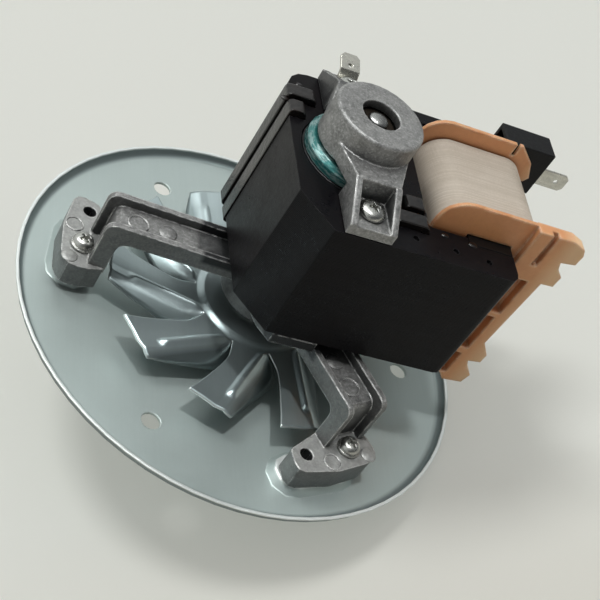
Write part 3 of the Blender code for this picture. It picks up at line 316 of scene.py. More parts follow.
class Finish:
    """A material under construction: its base colour, roughness and height, layer by layer."""

    def __init__(self, name, base, metallic, roughness, **shader_values):
        self.material = bpy.data.materials.new(name)
        self.material.use_nodes = True
        self.material.diffuse_color = (*base, 1.0)
        self.tree = self.material.node_tree
        self.shader = self.tree.nodes["Principled BSDF"]
        feed(self.tree, self.shader.inputs, {"Metallic": metallic, **shader_values})
        self.base = tuple(base)
        self.colour = self.base
        self.roughness = roughness
        self.heights = []
        self.normal = None

    def grain(self, scale, patches):
        """Fine grain of one scale, and patches of another."""
        return use(self.tree, "grain", Scale=scale, Patches=patches)

    def streaks(self, stretch):
        """Marks drawn along one direction."""
        return use(self.tree, "streaks", Stretch=stretch)

    def along(self, axis):
        """The place along one axis of the object."""
        return axis_of(self.tree, own_place(self.tree), axis)

    def within(self, *bounds):
        """A mask that is full where each value has passed from its first bound to its second."""
        return times(self.tree, *[ramp(self.tree, value, low, high) for value, (low, high) in bounds])

    def open_sky(self, distance, samples):
        """How open a spot is: 1 in the free, less in corners and pockets."""
        return add(self.tree, "AmbientOcclusion", {"Distance": distance}, samples=samples).outputs["AO"]

    def tint(self, mask, target, amount=1.0):
        """Mixes another colour in by a mask."""
        self.colour = blend(self.tree, times(self.tree, mask, amount), self.colour, target)

    def shade(self, mask, amount):
        """Darkens by a mask."""
        self.tint(mask, tuple(c * (1.0 - amount) for c in self.base))

    def dull(self, mask, low, high):
        """Lets the roughness run from low to high by a mask."""
        self.roughness = ramp(self.tree, mask, 0.0, 1.0, low, high)

    def bump(self, height, distance):
        """Adds a bump of a real depth."""
        self.heights.append((height, distance))

    def wear_and_sheen(self, radius, bright, amount, breakup=500.0):
        """Bright edges, partly worn and partly painted highlights, and a normal that runs round them."""
        edge_marks = use(self.tree, "wear_and_sheen", Radius=radius, Breakup=breakup)
        self.tint(edge_marks["Mask"], bright, amount)
        self.normal = edge_marks["Normal"]

    def done(self):
        """Links what has gathered to the shader."""
        values = {"Base Color": self.colour, "Roughness": self.roughness}
        if self.colour == self.base:
            values["Base Color"] = (*self.base, 1.0)
        normal = self.normal
        for height, distance in self.heights:
            inputs = {"Height": height, "Strength": 1.0, "Distance": distance}
            if normal:
                inputs["Normal"] = normal
            normal = add(self.tree, "Bump", inputs).outputs["Normal"]
        if normal:
            values["Normal"] = normal
        feed(self.tree, self.shader.inputs, values)
        return self.material


# Finishes

def zinc_plate(hues):
    """Dull zinc plating with faint rolling marks and smears, painted shade on its rim's wall and a painted
    highlight along its rim's top.
    """
    look = Finish("plate_zinc", hues.zinc, 0.62, 0.46)
    grain = look.grain(1500.0, 28.0)
    marks = look.streaks((1400.0, 40.0, 300.0))
    look.tint(grain["Mottle"], (0.50, 0.57, 0.555), 0.35)
    look.tint(marks["Mask"], (0.40, 0.47, 0.455), 0.16)
    # painted shade: the rim's inner wall is darkened to stand in for a dark reflection
    look.tint(look.within((from_axis(look.tree), PLATE_EDGE)), (0.13, 0.165, 0.17), 0.8)
    # painted highlight: a bright line along the rim's top edge
    rim_highlight = look.within((look.along("Z"), (RIM_TOP - 0.0007, RIM_TOP - 0.0002)))
    look.tint(rim_highlight, (0.86, 0.90, 0.88), 0.9)
    look.dull(grain["Mottle"], 0.40, 0.50)
    look.bump(marks["Height"], 0.000012)
    look.bump(grain["Height"], 0.000015)
    look.wear_and_sheen(0.0006, (0.80, 0.83, 0.81), 0.85)
    return look.done()


def cast_alloy(hues):
    """As-cast zinc alloy: mottled, with bright edges that are partly rubbed and partly painted highlights,
    and painted shade in its corners. Painted shade darkens the side faces below the stack, a band just
    beneath the stack and the rear foot above it, and painted light brightens the feet's upper faces."""
    look = Finish("casting_alloy", hues.casting, 0.5, 0.45)
    grain = look.grain(1500.0, 520.0)
    stains = look.grain(700.0, 80.0)
    look.tint(stains["Mottle"], (0.085, 0.087, 0.085), 0.7)
    look.tint(grain["Mottle"], (0.44, 0.44, 0.43), 0.55)
    look.tint(ramp(look.tree, grain["Height"], 0.54, 0.68), (0.62, 0.62, 0.60), 0.25)
    slope = face_slope(look.tree)
    x, y, height = (look.along(axis) for axis in "XYZ")
    # painted shade: the lower bracket's side faces below the stack are darkened
    look.tint(look.within((slope, UPRIGHT), (height, BELOW_STACK)), (0.08, 0.085, 0.084), 0.6)
    # painted shade in corners and pockets, where little open sky reaches
    look.tint(look.within((look.open_sky(0.009, 8), POCKET)), (0.022, 0.024, 0.025), 0.85)
    # painted shade in a dark band of the castings just beneath the stack
    reach = from_axis(look.tree, SHADE_SQUEEZE)
    under_stack_shade = look.within((height, SHADE_LOW), (height, SHADE_HIGH), (reach, SHADE_REACH))
    look.tint(under_stack_shade, (0.016, 0.017, 0.019), 0.95)
    # painted shade on the upper bracket's rear foot
    look.tint(look.within(*zip((y, x, height), REAR_FOOT)), (0.03, 0.031, 0.033), 0.8)
    # painted light: the feet's level upper faces are lightened
    look.tint(look.within((height, FOOT_FACE), (slope, LEVEL)), (0.52, 0.53, 0.51), 0.4)
    look.dull(grain["Mottle"], 0.32, 0.54)
    look.bump(stains["Height"], 0.00013)
    look.bump(grain["Height"], 0.00008)
    look.wear_and_sheen(0.0008, (0.90, 0.90, 0.88), 1.0, 420.0)
    return look.done()


def stack_varnish(hues, pitch):
    """Black dipping varnish over the sheets, thicker and browner in places."""
    look = Finish("stack_varnish", hues.varnish, 0.0, 0.35, **{"Specular IOR Level": 0.09})
    sheets = use(look.tree, "sheets", Pitch=pitch)
    grain = look.grain(700.0, 55.0)
    look.tint(sheets["Tone"], (0.009, 0.009, 0.010), 0.7)
    look.tint(grain["Mottle"], (0.010, 0.008, 0.0075), 0.5)
    look.dull(grain["Mottle"], 0.26, 0.42)
    look.bump(sheets["Height"], 0.00003)
    look.bump(grain["Height"], 0.00004)
    look.wear_and_sheen(0.0003, (0.09, 0.09, 0.095), 0.6, 300.0)
    return look.done()


def bare_sheets(name, base, pitch):
    """Bare electrical steel, sheet on sheet."""
    look = Finish(name, base, 0.8, 0.42)
    sheets = use(look.tree, "sheets", Pitch=pitch)
    grain = look.grain(900.0, 90.0)
    look.tint(sheets["Tone"], tuple(c * 1.5 for c in base), 0.6)
    look.shade(grain["Mottle"], 0.3)
    look.dull(grain["Mottle"], 0.32, 0.5)
    look.bump(sheets["Height"], 0.00005)
    look.wear_and_sheen(0.0003, tuple(min(1.0, c * 2.2) for c in base), 0.5)
    return look.done()


def ring_varnish():
    """Copper shading rings under black varnish that gathers in lumps."""
    look = Finish("ring_varnish", (0.005, 0.0048, 0.005), 0.0, 0.16, **{"Specular IOR Level": 0.5})
    grain = look.grain(650.0, 150.0)
    look.tint(grain["Mottle"], (0.018, 0.012, 0.010), 0.6)
    look.dull(grain["Mottle"], 0.08, 0.22)
    look.bump(grain["Height"], 0.00016)
    look.wear_and_sheen(0.0004, (0.22, 0.12, 0.07), 0.25, 260.0)
    return look.done()


def teal_lacquer(hues):
    """Teal lacquer brushed on the cast end ring, with paler strokes and bright edges that are partly scuffed
    and partly painted highlights.
    """
    look = Finish("ring_lacquer", hues.teal, 0.35, 0.28, **{"Coat Weight": 0.15, "Coat Roughness": 0.1})
    grain = look.grain(500.0, 170.0)
    broad = look.grain(420.0, 150.0)
    marks = look.streaks((260.0, 260.0, 1800.0))
    look.tint(broad["Mottle"], (0.045, 0.22, 0.205), 0.6)
    strokes = ramp(look.tree, times(look.tree, grain["Mottle"], marks["Mask"]), 0.12, 0.42)
    look.tint(strokes, (0.27, 0.39, 0.38), 0.7)
    look.dull(marks["Mask"], 0.16, 0.36)
    look.bump(marks["Height"], 0.00008)
    look.bump(broad["Height"], 0.00012)
    look.wear_and_sheen(0.0006, (0.52, 0.66, 0.64), 0.6, 240.0)
    return look.done()


def fan_sheet(hues):
    """Rolled aluminium sheet with painted highlights on its sheared edges and painted shade on its flaps."""
    look = Finish("fan_sheet", hues.tin_sheet, 0.82, 0.32)
    marks = look.streaks((900.0, 60.0, 300.0))
    grain = look.grain(800.0, 60.0)
    look.tint(marks["Mask"], (0.36, 0.44, 0.45), 0.25)
    look.tint(grain["Mottle"], (0.50, 0.58, 0.585), 0.25)
    rim = add(look.tree, "Attribute", attribute_name="sheet_rim").outputs["Fac"]
    # painted highlight along the sheet's sheared edges
    look.tint(ramp(look.tree, rim, 0.82, 1.0), (0.78, 0.81, 0.80), 0.8)
    # painted shade on the flaps folded below the sheet
    look.tint(look.within((look.along("Z"), FAN_FLAP)), (0.11, 0.14, 0.14), 0.8)
    look.dull(grain["Mottle"], 0.30, 0.36)
    look.bump(marks["Height"], 0.000004)
    return look.done()


def turned_metal(name, base, roughness, stretch=(90.0, 90.0, 2600.0), bright=None):
    """Turned or ground metal with fine rings."""
    look = Finish(name, base, 1.0, roughness)
    marks = look.streaks(stretch)
    grain = look.grain(1200.0, 140.0)
    look.shade(marks["Mask"], 0.22)
    look.tint(grain["Mottle"], tuple(c * 0.62 for c in base), 0.3)
    look.dull(grain["Mottle"], roughness * 0.75, roughness * 1.3)
    look.bump(marks["Height"], 0.00002)
    look.wear_and_sheen(0.0003, bright or tuple(min(1.0, c * 1.5) for c in base), 0.6)
    return look.done()


def porous_metal(name, base):
    """Sintered bronze with open pores, dark with oil."""
    look = Finish(name, base, 0.9, 0.5)
    grain = look.grain(3200.0, 300.0)
    look.shade(grain["Mottle"], 0.5)
    look.dull(grain["Mottle"], 0.4, 0.62)
    look.bump(grain["Height"], 0.00005)
    return look.done()


def soft_fibre(name, base, scale=2600.0, depth=0.00025):
    """Felt or pressed fibre."""
    look = Finish(name, base, 0.0, 0.95)
    grain = look.grain(scale, 260.0)
    look.shade(grain["Mottle"], 0.45)
    look.bump(grain["Height"], depth)
    return look.done()


def peach_moulding(hues):
    """Peach thermoset, slightly waxy: paler at its far end, with pale edges that are partly worn and partly
    painted highlights, and painted shade in its pockets.
    """
    waxy = {"Subsurface Weight": 0.12, "Subsurface Scale": 0.002, "Specular IOR Level": 0.45}
    look = Finish("bobbin_peach", hues.peach, 0.0, 0.45, **waxy)
    grain = look.grain(900.0, 48.0)
    flow = look.streaks((60.0, 300.0, 60.0))
    look.tint(grain["Mottle"], (0.56, 0.245, 0.11), 0.5)
    look.tint(flow["Mask"], (0.74, 0.40, 0.21), 0.3)
    look.dull(grain["Mottle"], 0.38, 0.54)
    look.bump(grain["Height"], 0.00004)
    far_end = look.within((look.along("X"), (BOBBIN_FAR - 0.0095, BOBBIN_FAR - 0.0040)))
    look.tint(far_end, (0.86, 0.62, 0.37), 0.65)
    # painted shade in the bobbin's pockets
    look.tint(look.within((look.open_sky(0.005, 4), (0.75, 0.35))), (0.20, 0.05, 0.02), 0.6)
    # pale edges, partly worn and partly a painted highlight
    look.wear_and_sheen(0.0015, (0.95, 0.70, 0.47), 1.0, 200.0)
    return look.done()


def coil_sleeve(hues, pitch):
    """Cream sleeve on the turns of wire: each turn a little different, with painted shade in the valleys
    between turns.
    """
    look = Finish("coil_cream", hues.coil, 0.0, 0.62)
    count = maths(look.tree, "DIVIDE", look.along("Y"), pitch)
    grain = look.grain(1500.0, 110.0)
    look.tint(own_tone(look.tree, maths(look.tree, "ROUND", count)), (0.74, 0.68, 0.60), 0.6)
    look.tint(grain["Mottle"], (0.48, 0.42, 0.34), 0.45)
    # painted shade in the valleys between turns
    look.tint(ramp(look.tree, from_middle(look.tree, count), 0.26, 0.05), (0.28, 0.225, 0.17), 0.65)
    look.dull(grain["Mottle"], 0.5, 0.72)
    look.bump(grain["Height"], 0.00006)
    return look.done()


def enamel_wire():
    """Copper under clear enamel, turn by turn."""
    look = Finish("winding_copper", (0.40, 0.13, 0.05), 0.9, 0.3)
    marks = look.streaks((40.0, 2200.0, 40.0))
    look.shade(marks["Mask"], 0.4)
    look.dull(marks["Mask"], 0.24, 0.4)
    look.bump(marks["Height"], 0.0001)
    return look.done()


def black_moulding(hues):
    """Black glass-filled moulding with a fine satin grain."""
    look = Finish("block_black", hues.black, 0.0, 0.4, **{"Specular IOR Level": 0.16})
    grain = look.grain(1300.0, 120.0)
    look.tint(grain["Mottle"], (0.009, 0.009, 0.010), 0.6)
    look.dull(grain["Mottle"], 0.36, 0.52)
    look.bump(grain["Height"], 0.00006)
    look.wear_and_sheen(0.0006, (0.07, 0.07, 0.072), 0.6, 320.0)
    return look.done()


def tinned_tab():
    """Tinned brass with stamping marks, a little dull."""
    look = Finish("tab_tin", (0.56, 0.55, 0.50), 0.95, 0.3)
    marks = look.streaks((120.0, 900.0, 900.0))
    grain = look.grain(1100.0, 240.0)
    look.shade(grain["Mottle"], 0.25)
    look.tint(marks["Mask"], (0.68, 0.66, 0.58), 0.4)
    look.dull(grain["Mottle"], 0.22, 0.42)
    look.bump(marks["Height"], 0.00002)
    look.wear_and_sheen(0.00035, (0.86, 0.84, 0.76), 0.6)
    return look.done()


LOOKS = {}


def look(name):
    """A finish by name, built once from the scene's colours."""
    if name not in LOOKS:
        hues = bpy.context.scene.motor_colours
        sizes = bpy.context.scene.motor_sizes
        makers = {
            "zinc_plated_steel": lambda: zinc_plate(hues),
            "die_cast_alloy": lambda: cast_alloy(hues),
            "black_varnish": lambda: stack_varnish(hues, sizes.lamination),
            "bare_lamination": lambda: bare_sheets("core_sheets", (0.020, 0.020, 0.021), sizes.lamination),
            "rotor_steel": lambda: bare_sheets("rotor_sheets", (0.05, 0.05, 0.052), sizes.lamination),
            "varnished_copper": ring_varnish,
            "teal_lacquer": lambda: teal_lacquer(hues),
            "pressed_aluminium": lambda: fan_sheet(hues),
            "ground_steel": lambda: turned_metal("shaft_steel", (0.40, 0.40, 0.39), 0.28),
            "zinc_screw": lambda: turned_metal("screw_zinc", (0.56, 0.56, 0.53), 0.26, (500.0,) * 3,
                                               (0.92, 0.92, 0.90)),
            "spring_steel": lambda: turned_metal("spring_steel", (0.16, 0.16, 0.17), 0.34),
            "collar_brass": lambda: turned_metal("collar_brass", (0.45, 0.33, 0.14), 0.34),
            "sintered_bronze": lambda: porous_metal("bush_bronze", (0.040, 0.030, 0.022)),
            "oil_felt": lambda: soft_fibre("oil_felt", (0.030, 0.026, 0.020)),
            "fibre_washer": lambda: soft_fibre("washer_fibre", (0.10, 0.05, 0.03), 1800.0, 0.0001),
            "peach_moulding": lambda: peach_moulding(hues),
            "cream_wrap": lambda: coil_sleeve(hues, sizes.wire_pitch),
            "enamelled_wire": enamel_wire,
            "black_moulding": lambda: black_moulding(hues),
            "tinned_brass": tinned_tab,
        }
        LOOKS[name] = makers[name]()
    return LOOKS[name]


# Piece helpers

def slot_of(node):
    """The record's material slot of a CAD node."""
    return next(entry["material_slot"] for entry in frame["record"]["subparts"] if entry["node"] == node)


def as_mesh(bm, name):
    """A mesh made of a shape, which is used up."""
    mesh = bpy.data.meshes.new(name)
    bm.to_mesh(mesh)
    bm.free()
    return mesh


def in_scene(name, data):
    """A new object in the scene."""
    item = bpy.data.objects.new(name, data)
    bpy.context.scene.collection.objects.link(item)
    return item


def place_piece(bm, name, body, slot, nodes=(), sharp=38.0):
    """Makes a finished mesh an object that rides on a body and stands for CAD nodes."""
    mesh = as_mesh(bm, name)
    mesh.materials.append(look(slot))
    mesh.shade_smooth()
    mesh.set_sharp_from_angle(angle=math.radians(sharp))
    piece = in_scene(name, mesh)
    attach(piece, body)
    if nodes:
        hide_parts(*nodes)
    return piece


def cad_shape(node):
    """A merged copy of a CAD node's mesh, with its flat faces whole again."""
    bm = bmesh.new()
    bm.from_mesh(frame["nodes"][node].data)
    bmesh.ops.remove_doubles(bm, verts=bm.verts, dist=2e-6)
    bmesh.ops.dissolve_limit(bm, angle_limit=math.radians(0.6), verts=bm.verts, edges=bm.edges)
    return bm


def round_edges(bm, width, angle=30.0, segments=2):
    """Rounds the edges that turn by more than an angle."""
    edges = [e for e in bm.edges if e.is_manifold and e.calc_face_angle(0.0) > math.radians(angle)]
    bmesh.ops.bevel(bm, geom=edges, offset=width, offset_type="OFFSET", segments=segments, profile=0.5,
                    affect="EDGES", clamp_overlap=True, material=-1)


def dress(node, body, width=0.0, **more):
    """A rounded and smoothed copy of a CAD node, in its finish."""
    bm = cad_shape(node)
    if width:
        round_edges(bm, width, **more)
    piece = place_piece(bm, "dressed_" + node, body, slot_of(node), [node])
    flat = piece.modifiers.new("flat faces", "WEIGHTED_NORMAL")
    flat.mode = "FACE_AREA"
    flat.weight = 100
    flat.keep_sharp = True


def turned(profile, steps, closed=True):
    """A (radius, height) profile spun about Z."""
    bm = bmesh.new()
    verts = [bm.verts.new((radius, 0.0, height)) for radius, height in profile]
    pairs = list(zip(verts, verts[1:])) + ([(verts[-1], verts[0])] if closed else [])
    edges = [bm.edges.new(pair) for pair in pairs]
    edges = [e for e in edges if max(v.co.x for v in e.verts) > 1e-9]
    bmesh.ops.spin(bm, geom=verts + edges, cent=(0, 0, 0), axis=(0, 0, 1), angle=FULL, steps=steps,
                   use_merge=True, use_duplicate=False)
    bmesh.ops.remove_doubles(bm, verts=bm.verts, dist=1e-7)
    bmesh.ops.dissolve_degenerate(bm, dist=1e-8, edges=bm.edges)
    bmesh.ops.recalc_face_normals(bm, faces=bm.faces)
    return bm


def on_arm(place, azimuth, height=0.0):
    """A place given along and across an arm, in the object's axes."""
    out, across = place
    return Vector((out * math.cos(azimuth) - across * math.sin(azimuth),
                   out * math.sin(azimuth) + across * math.cos(azimuth), height))


def moved(bm, scale=(1, 1, 1), turn=0.0, axis="Z", to=(0, 0, 0)):
    """Scales a shape, turns it about an axis and moves it."""
    bmesh.ops.scale(bm, vec=scale, verts=bm.verts)
    bmesh.ops.rotate(bm, cent=(0, 0, 0), verts=bm.verts, matrix=Matrix.Rotation(turn, 3, axis))
    bmesh.ops.translate(bm, vec=to, verts=bm.verts)
    return bm


def brick(size, to=(0, 0, 0)):
    """A block of a size with its middle at a place."""
    bm = bmesh.new()
    bmesh.ops.create_cube(bm, size=1.0)
    return moved(bm, scale=size, to=to)


def add_wall(piece, thickness):
    """Gives an open skin its thickness, inwards."""
    wall = piece.modifiers.new("wall", "SOLIDIFY")
    wall.thickness = thickness
    wall.offset = -1.0


def join_shapes(target, *others):
    """Moves other shapes into the first one."""
    for other in others:
        mesh = as_mesh(other, "join")
        target.from_mesh(mesh)
        bpy.data.meshes.remove(mesh)
    return target


def carved(bm, tools):
    """The shape with the tools' shapes taken out of it."""
    block = in_scene("carved", as_mesh(bm, "carved"))
    cutters = [in_scene("cutter", as_mesh(tool, "cutter")) for tool in tools]
    for cutter in cutters:
        step = block.modifiers.new("cut", "BOOLEAN")
        step.operation = "DIFFERENCE"
        step.solver = "EXACT"
        step.object = cutter
    bpy.context.view_layer.update()
    result = bmesh.new()
    result.from_object(block, bpy.context.evaluated_depsgraph_get())
    for item in [block] + cutters:
        data = item.data
        bpy.data.objects.remove(item, do_unlink=True)
        bpy.data.meshes.remove(data)
    return result


def helix(core, crest, pitch, low, high, steps=28):
    """A thread's ridge wound round Z between two heights."""
    bm = bmesh.new()
    half = pitch * 0.5
    section = [(core, -half * 0.96), (crest, -half * 0.14), (crest, half * 0.14), (core, half * 0.96)]
    verts = [bm.verts.new((radius, 0.0, low + half + height)) for radius, height in section]
    face = bm.faces.new(verts)
    turns = (high - low) / pitch - 1.0
    count = max(1, round(turns * steps))
    bmesh.ops.spin(bm, geom=[face], cent=(0, 0, 0), axis=(0, 0, 1), dvec=(0, 0, turns * pitch / count),
                   angle=FULL * turns, steps=count, use_merge=False, use_duplicate=False)
    bmesh.ops.remove_doubles(bm, verts=bm.verts, dist=1e-8)
    bmesh.ops.holes_fill(bm, edges=bm.edges, sides=4)
    bmesh.ops.recalc_face_normals(bm, faces=bm.faces)
    return bm


class MotorOperator:
    """What every step of the motor's making shares."""
    bl_options = {"REGISTER"}


class MOTOR_OT_plate(MotorOperator, bpy.types.Operator):
    """Finish the flange plate"""
    bl_idname = "motor.plate"
    bl_label = "Flange plate"

    def execute(self, context):
        sizes = context.scene.motor_sizes
        dress("mounting_plate", STATOR, sizes.sheet_edge, angle=40.0)
        return {"FINISHED"}


class MOTOR_OT_castings(MotorOperator, bpy.types.Operator):
    """Round the two bearing brackets and add the marks of the mould's pins"""
    bl_idname = "motor.castings"
    bl_label = "Bearing brackets"

    # Along an arm and across it, height, share of the marks' radius, and whether the mark is a low boss
    places = ((0.0455, 0.0, CHANNEL_FLOOR, 1.0, False), (0.0360, 0.0, CHANNEL_FLOOR, 0.9, True),
              (0.0607, -0.0075, FOOT_TOP, 0.85, False), (0.0612, 0.0064, FOOT_TOP, 0.8, True))
    rise = 0.00030
    half_width = 0.00040
    sunk = -0.0002

    def execute(self, context):
        sizes = context.scene.motor_sizes
        for node in ("upper_bracket", "lower_bracket"):
            dress(node, STATOR, sizes.casting_edge)
        marks = bmesh.new()
        for azimuth in ARM_AZIMUTHS:
            for out, across, height, share, boss in self.places:
                ring = self.mark(sizes.mark_radius * share, boss)
                ring.transform(Matrix.Translation(on_arm((out, across), azimuth, height)))
                join_shapes(marks, ring)
        place_piece(marks, "casting_marks", STATOR, "die_cast_alloy")
        return {"FINISHED"}

    def mark(self, radius, boss):
        """A thin raised ring, or a low boss, on a casting's face."""
        rise, half, sunk = self.rise, self.half_width, self.sunk
        if boss:
            return turned([(0, sunk), (radius, sunk), (radius, rise * 0.4), (radius - rise, rise),
                           (0, rise)], 36)
        return turned([(radius - half, sunk), (radius + half, sunk), (radius + half * 0.5, rise),
                       (radius - half * 0.5, rise)], 40)


class MOTOR_OT_stack(MotorOperator, bpy.types.Operator):
    """Finish the lamination stack, the coil's leg and the shading rings"""
    bl_idname = "motor.stack"
    bl_label = "Lamination stack"

    ring_edge = 0.0004
    # X, Y and radius of each drop of varnish on the top sheet
    drops = ((0.0360, -0.0222, 0.0012), (-0.0170, 0.0230, 0.0013), (-0.0140, 0.0262, 0.0009),
             (-0.0196, 0.0180, 0.0011), (0.0268, -0.0216, 0.0010))
    drop_scale = (1.3, 1.0, 0.5)

    def execute(self, context):
        sizes = context.scene.motor_sizes
        dress("lamination_core", STATOR, sizes.sheet_edge)
        dress("coil_core", STATOR, sizes.sheet_edge)
        for node in sorted(frame["nodes"]):
            if node.startswith("shading_ring"):
                dress(node, STATOR, self.ring_edge, segments=3)
        drops = bmesh.new()
        for x, y, radius in self.drops:
            drop = bmesh.new()
            bmesh.ops.create_uvsphere(drop, u_segments=20, v_segments=12, radius=radius)
            join_shapes(drops, moved(drop, scale=self.drop_scale, to=(x, y, STACK_HIGH)))
        place_piece(drops, "varnish_drops", STATOR, "varnished_copper")
        return {"FINISHED"}


class MOTOR_OT_rotor(MotorOperator, bpy.types.Operator):
    """Finish the rotor and make the turned shaft with its thread"""
    bl_idname = "motor.rotor"
    bl_label = "Rotor and shaft"

    dome = 0.0011               # height of the shaft's domed end
    groove_top, groove_wide, groove_deep = 0.0039, 0.0009, 0.0005
    thread_deep = 0.00058
    flat_deep, flat_rise = 0.0006, 0.0043       # the flats' middle stands above the thread
    flat_block = (0.01, 0.002, 0.0082)

    def execute(self, context):
        dress("rotor_core", ROTOR)
        dress("rotor_cage", ROTOR, 0.0003)
        dress("fan_collar", ROTOR, 0.0002)
        dress("retaining_ring", ROTOR)
        shaft = join_shapes(carved(self.blank(), self.flats()), self.thread(context.scene.motor_sizes))
        place_piece(shaft, "dressed_shaft", ROTOR, "ground_steel", ["shaft"], sharp=32.0)
        return {"FINISHED"}

    def blank(self):
        """The turned shaft: domed end, groove for the ring, and the thread's core."""
        radius = SHAFT_RADIUS
        core = radius - self.thread_deep
        neck = radius - self.groove_deep
        profile = [(0, SHAFT_TOP)]
        profile += [(radius * math.sin(a), SHAFT_TOP - self.dome * (1 - math.cos(a)))
                    for a in (math.radians(15 * k) for k in range(1, 6))]
        profile += [(radius, SHAFT_TOP - self.dome), (radius, self.groove_top), (neck, self.groove_top),
                    (neck, self.groove_top - self.groove_wide), (radius, self.groove_top - self.groove_wide),
                    (radius, THREAD_TOP + 0.0004), (core, THREAD_TOP - 0.0002), (core, SHAFT_END + 0.0006),
                    (core - 0.0006, SHAFT_END), (0, SHAFT_END)]
        return turned(profile, 48)

    def flats(self):
        """The blocks that cut the two flats."""
        aside = SHAFT_RADIUS - self.flat_deep + self.flat_block[1] / 2
        return [brick(self.flat_block, (0, side * aside, THREAD_TOP + self.flat_rise)) for side in (1, -1)]

    def thread(self, sizes):
        """The thread's ridge, sunk a little into its core."""
        core = SHAFT_RADIUS - self.thread_deep
        return helix(core - 0.0001, SHAFT_RADIUS - 0.00005, sizes.thread_pitch, SHAFT_END + 0.0004,
                     THREAD_TOP + 0.0001)


class MOTOR_OT_fan(MotorOperator, bpy.types.Operator):
    """Press the ten-blade fan from one sheet, with a bead and a folded flap on each blade"""
    bl_idname = "motor.fan"
    bl_label = "Cooling fan"

    top = 0.0102                # of the sheet at the blades' roots
    hub_radius = 0.0200
    step = 0.0012               # rise of the hub's middle
    # Radius and share of the step's height, from the hole to the hub's edge
    step_profile = ((SHAFT_RADIUS + SHAFT_GAP, 1.0), (0.0120, 1.0), (0.0170, 1.0), (0.0175, 0.96),
                    (0.0183, 0.51), (0.0191, 0.06), (0.0196, 0.01), (hub_radius, 0.0))
    first_blade = math.radians(-106.3)
    # Degrees round the hub at which a blade's seven lengthwise lines start
    root_angles = (-9.0, 3.0, 14.5, 18.5, 22.0, 24.0, 25.5)
    bead_root = (hub_radius, 0.0070, 0.0)
    # Across a blade at three distances: leading edge, bead, fold and trailing edge
    rows = (((0.0270, -0.0034, 0.0), (0.0262, 0.0047, 0.0),
             (0.0250, 0.0098, -0.0018), (0.0226, 0.0143, -0.0050)),
            ((0.0400, -0.0088, 0.0006), (0.0402, 0.0006, 0.0),
             (0.0404, 0.0042, -0.0011), (0.0402, 0.0070, -0.0026)),
            ((0.0465, -0.0122, 0.0012), (0.0478, -0.0018, 0.0003),
             (0.0481, 0.0008, -0.0002), (0.0482, 0.0028, -0.0008)))
    stops = (0.0, 0.27, 0.74, 1.0)      # shares of a blade's length at its root and the rows
    bead_line = 0.0014          # from the bead's middle to the lines beside it
    bead_start = 0.06           # share of the length over which the bead rises
    bead_end = 0.0415           # distance from the axis at which it has run out
    fineness = 0.75             # degrees from one column to the next
    lines = 34                  # along a blade

    def execute(self, context):
        sizes = context.scene.motor_sizes
        columns = round((self.root_angles[-1] - self.root_angles[0]) / self.fineness)
        profile = [(radius, self.step * share) for radius, share in self.step_profile]
        hub = turned(profile, round(360.0 / self.fineness), closed=False)
        moved(hub, turn=self.first_blade + math.radians(self.root_angles[0]))
        for blade in range(sizes.fan_blades):
            azimuth = self.first_blade + FULL * blade / sizes.fan_blades
            join_shapes(hub, self.blade(columns, azimuth, sizes))
        bmesh.ops.remove_doubles(hub, verts=hub.verts, dist=2e-6)
        bmesh.ops.recalc_face_normals(hub, faces=hub.faces)
        if sum(f.normal.z for f in hub.faces) < 0:
            bmesh.ops.reverse_faces(hub, faces=hub.faces)
        bmesh.ops.translate(hub, vec=(0, 0, self.top), verts=hub.verts)
        # the sheet's boundary, which the fan's finish brightens as a painted highlight
        rim = hub.verts.layers.float.new("sheet_rim")
        for vert in hub.verts:
            vert[rim] = float(vert.is_boundary)
        fan = place_piece(hub, "dressed_cooling_fan", ROTOR, "pressed_aluminium", ["cooling_fan"], sharp=50.0)
        add_wall(fan, sizes.fan_sheet)
        return {"FINISHED"}

    def across(self, row, part):
        """A point of a row at a column given in degrees of the root."""
        left, bead, fold, right = (Vector(p) for p in row)
        aside = Vector((0, self.bead_line, 0))
        points = [left, (left + bead) / 2, bead - aside, bead, bead + aside, fold, right]
        angles = self.root_angles
        for i in range(len(angles) - 1):
            if part <= angles[i + 1] + 1e-9:
                share = (part - angles[i]) / (angles[i + 1] - angles[i])
                return points[i].lerp(points[i + 1], share)
        return points[-1]

    def blade(self, columns, azimuth, sizes):
        """One blade as a grid from the hub's edge to its tip, with the bead raised along it."""
        bm = bmesh.new()
        bmesh.ops.create_grid(bm, x_segments=columns, y_segments=self.lines, size=1.0)
        first, last = self.root_angles[0], self.root_angles[-1]
        bead_knots = [Vector(self.bead_root)] + [Vector(row[1]) for row in self.rows]
        for vert in bm.verts:
            part = first + (vert.co.x + 1) / 2 * (last - first)
            share = (vert.co.y + 1) / 2
            angle = math.radians(part)
            root = Vector((self.hub_radius * math.cos(angle), self.hub_radius * math.sin(angle), 0.0))
            point = self.curve([root] + [self.across(row, part) for row in self.rows], share)
            reach = abs(point.y - self.curve(bead_knots, share).y) / sizes.fan_bead_half
            taper = min(1.0, max(0.0, (self.bead_end - point.x) / sizes.fan_bead_half))
            if reach < 1.0 and taper > 0.0:
                lift = math.cos(reach * math.pi / 2) ** 1.2 * math.sin(taper * math.pi / 2)
                point.z += sizes.fan_bead * lift * min(1.0, share / self.bead_start)
            vert.co = point
        return moved(bm, turn=azimuth)

    def curve(self, knots, at):
        """A smooth curve through knots that stand at the stops, at a share of its length."""
        stops = self.stops
        last = len(stops) - 1
        i = max(k for k in range(last) if at >= stops[k] - 1e-9)
        gap = stops[i + 1] - stops[i]
        t = (at - stops[i]) / gap

        def slope(k):
            before, after = max(k - 1, 0), min(k + 1, last)
            return (knots[after] - knots[before]) / (stops[after] - stops[before])

        a, b = slope(i) * gap, slope(i + 1) * gap
        return (knots[i] * (2 * t ** 3 - 3 * t ** 2 + 1) + a * (t ** 3 - 2 * t ** 2 + t)
                + knots[i + 1] * (3 * t ** 2 - 2 * t ** 3) + b * (t ** 3 - t ** 2))


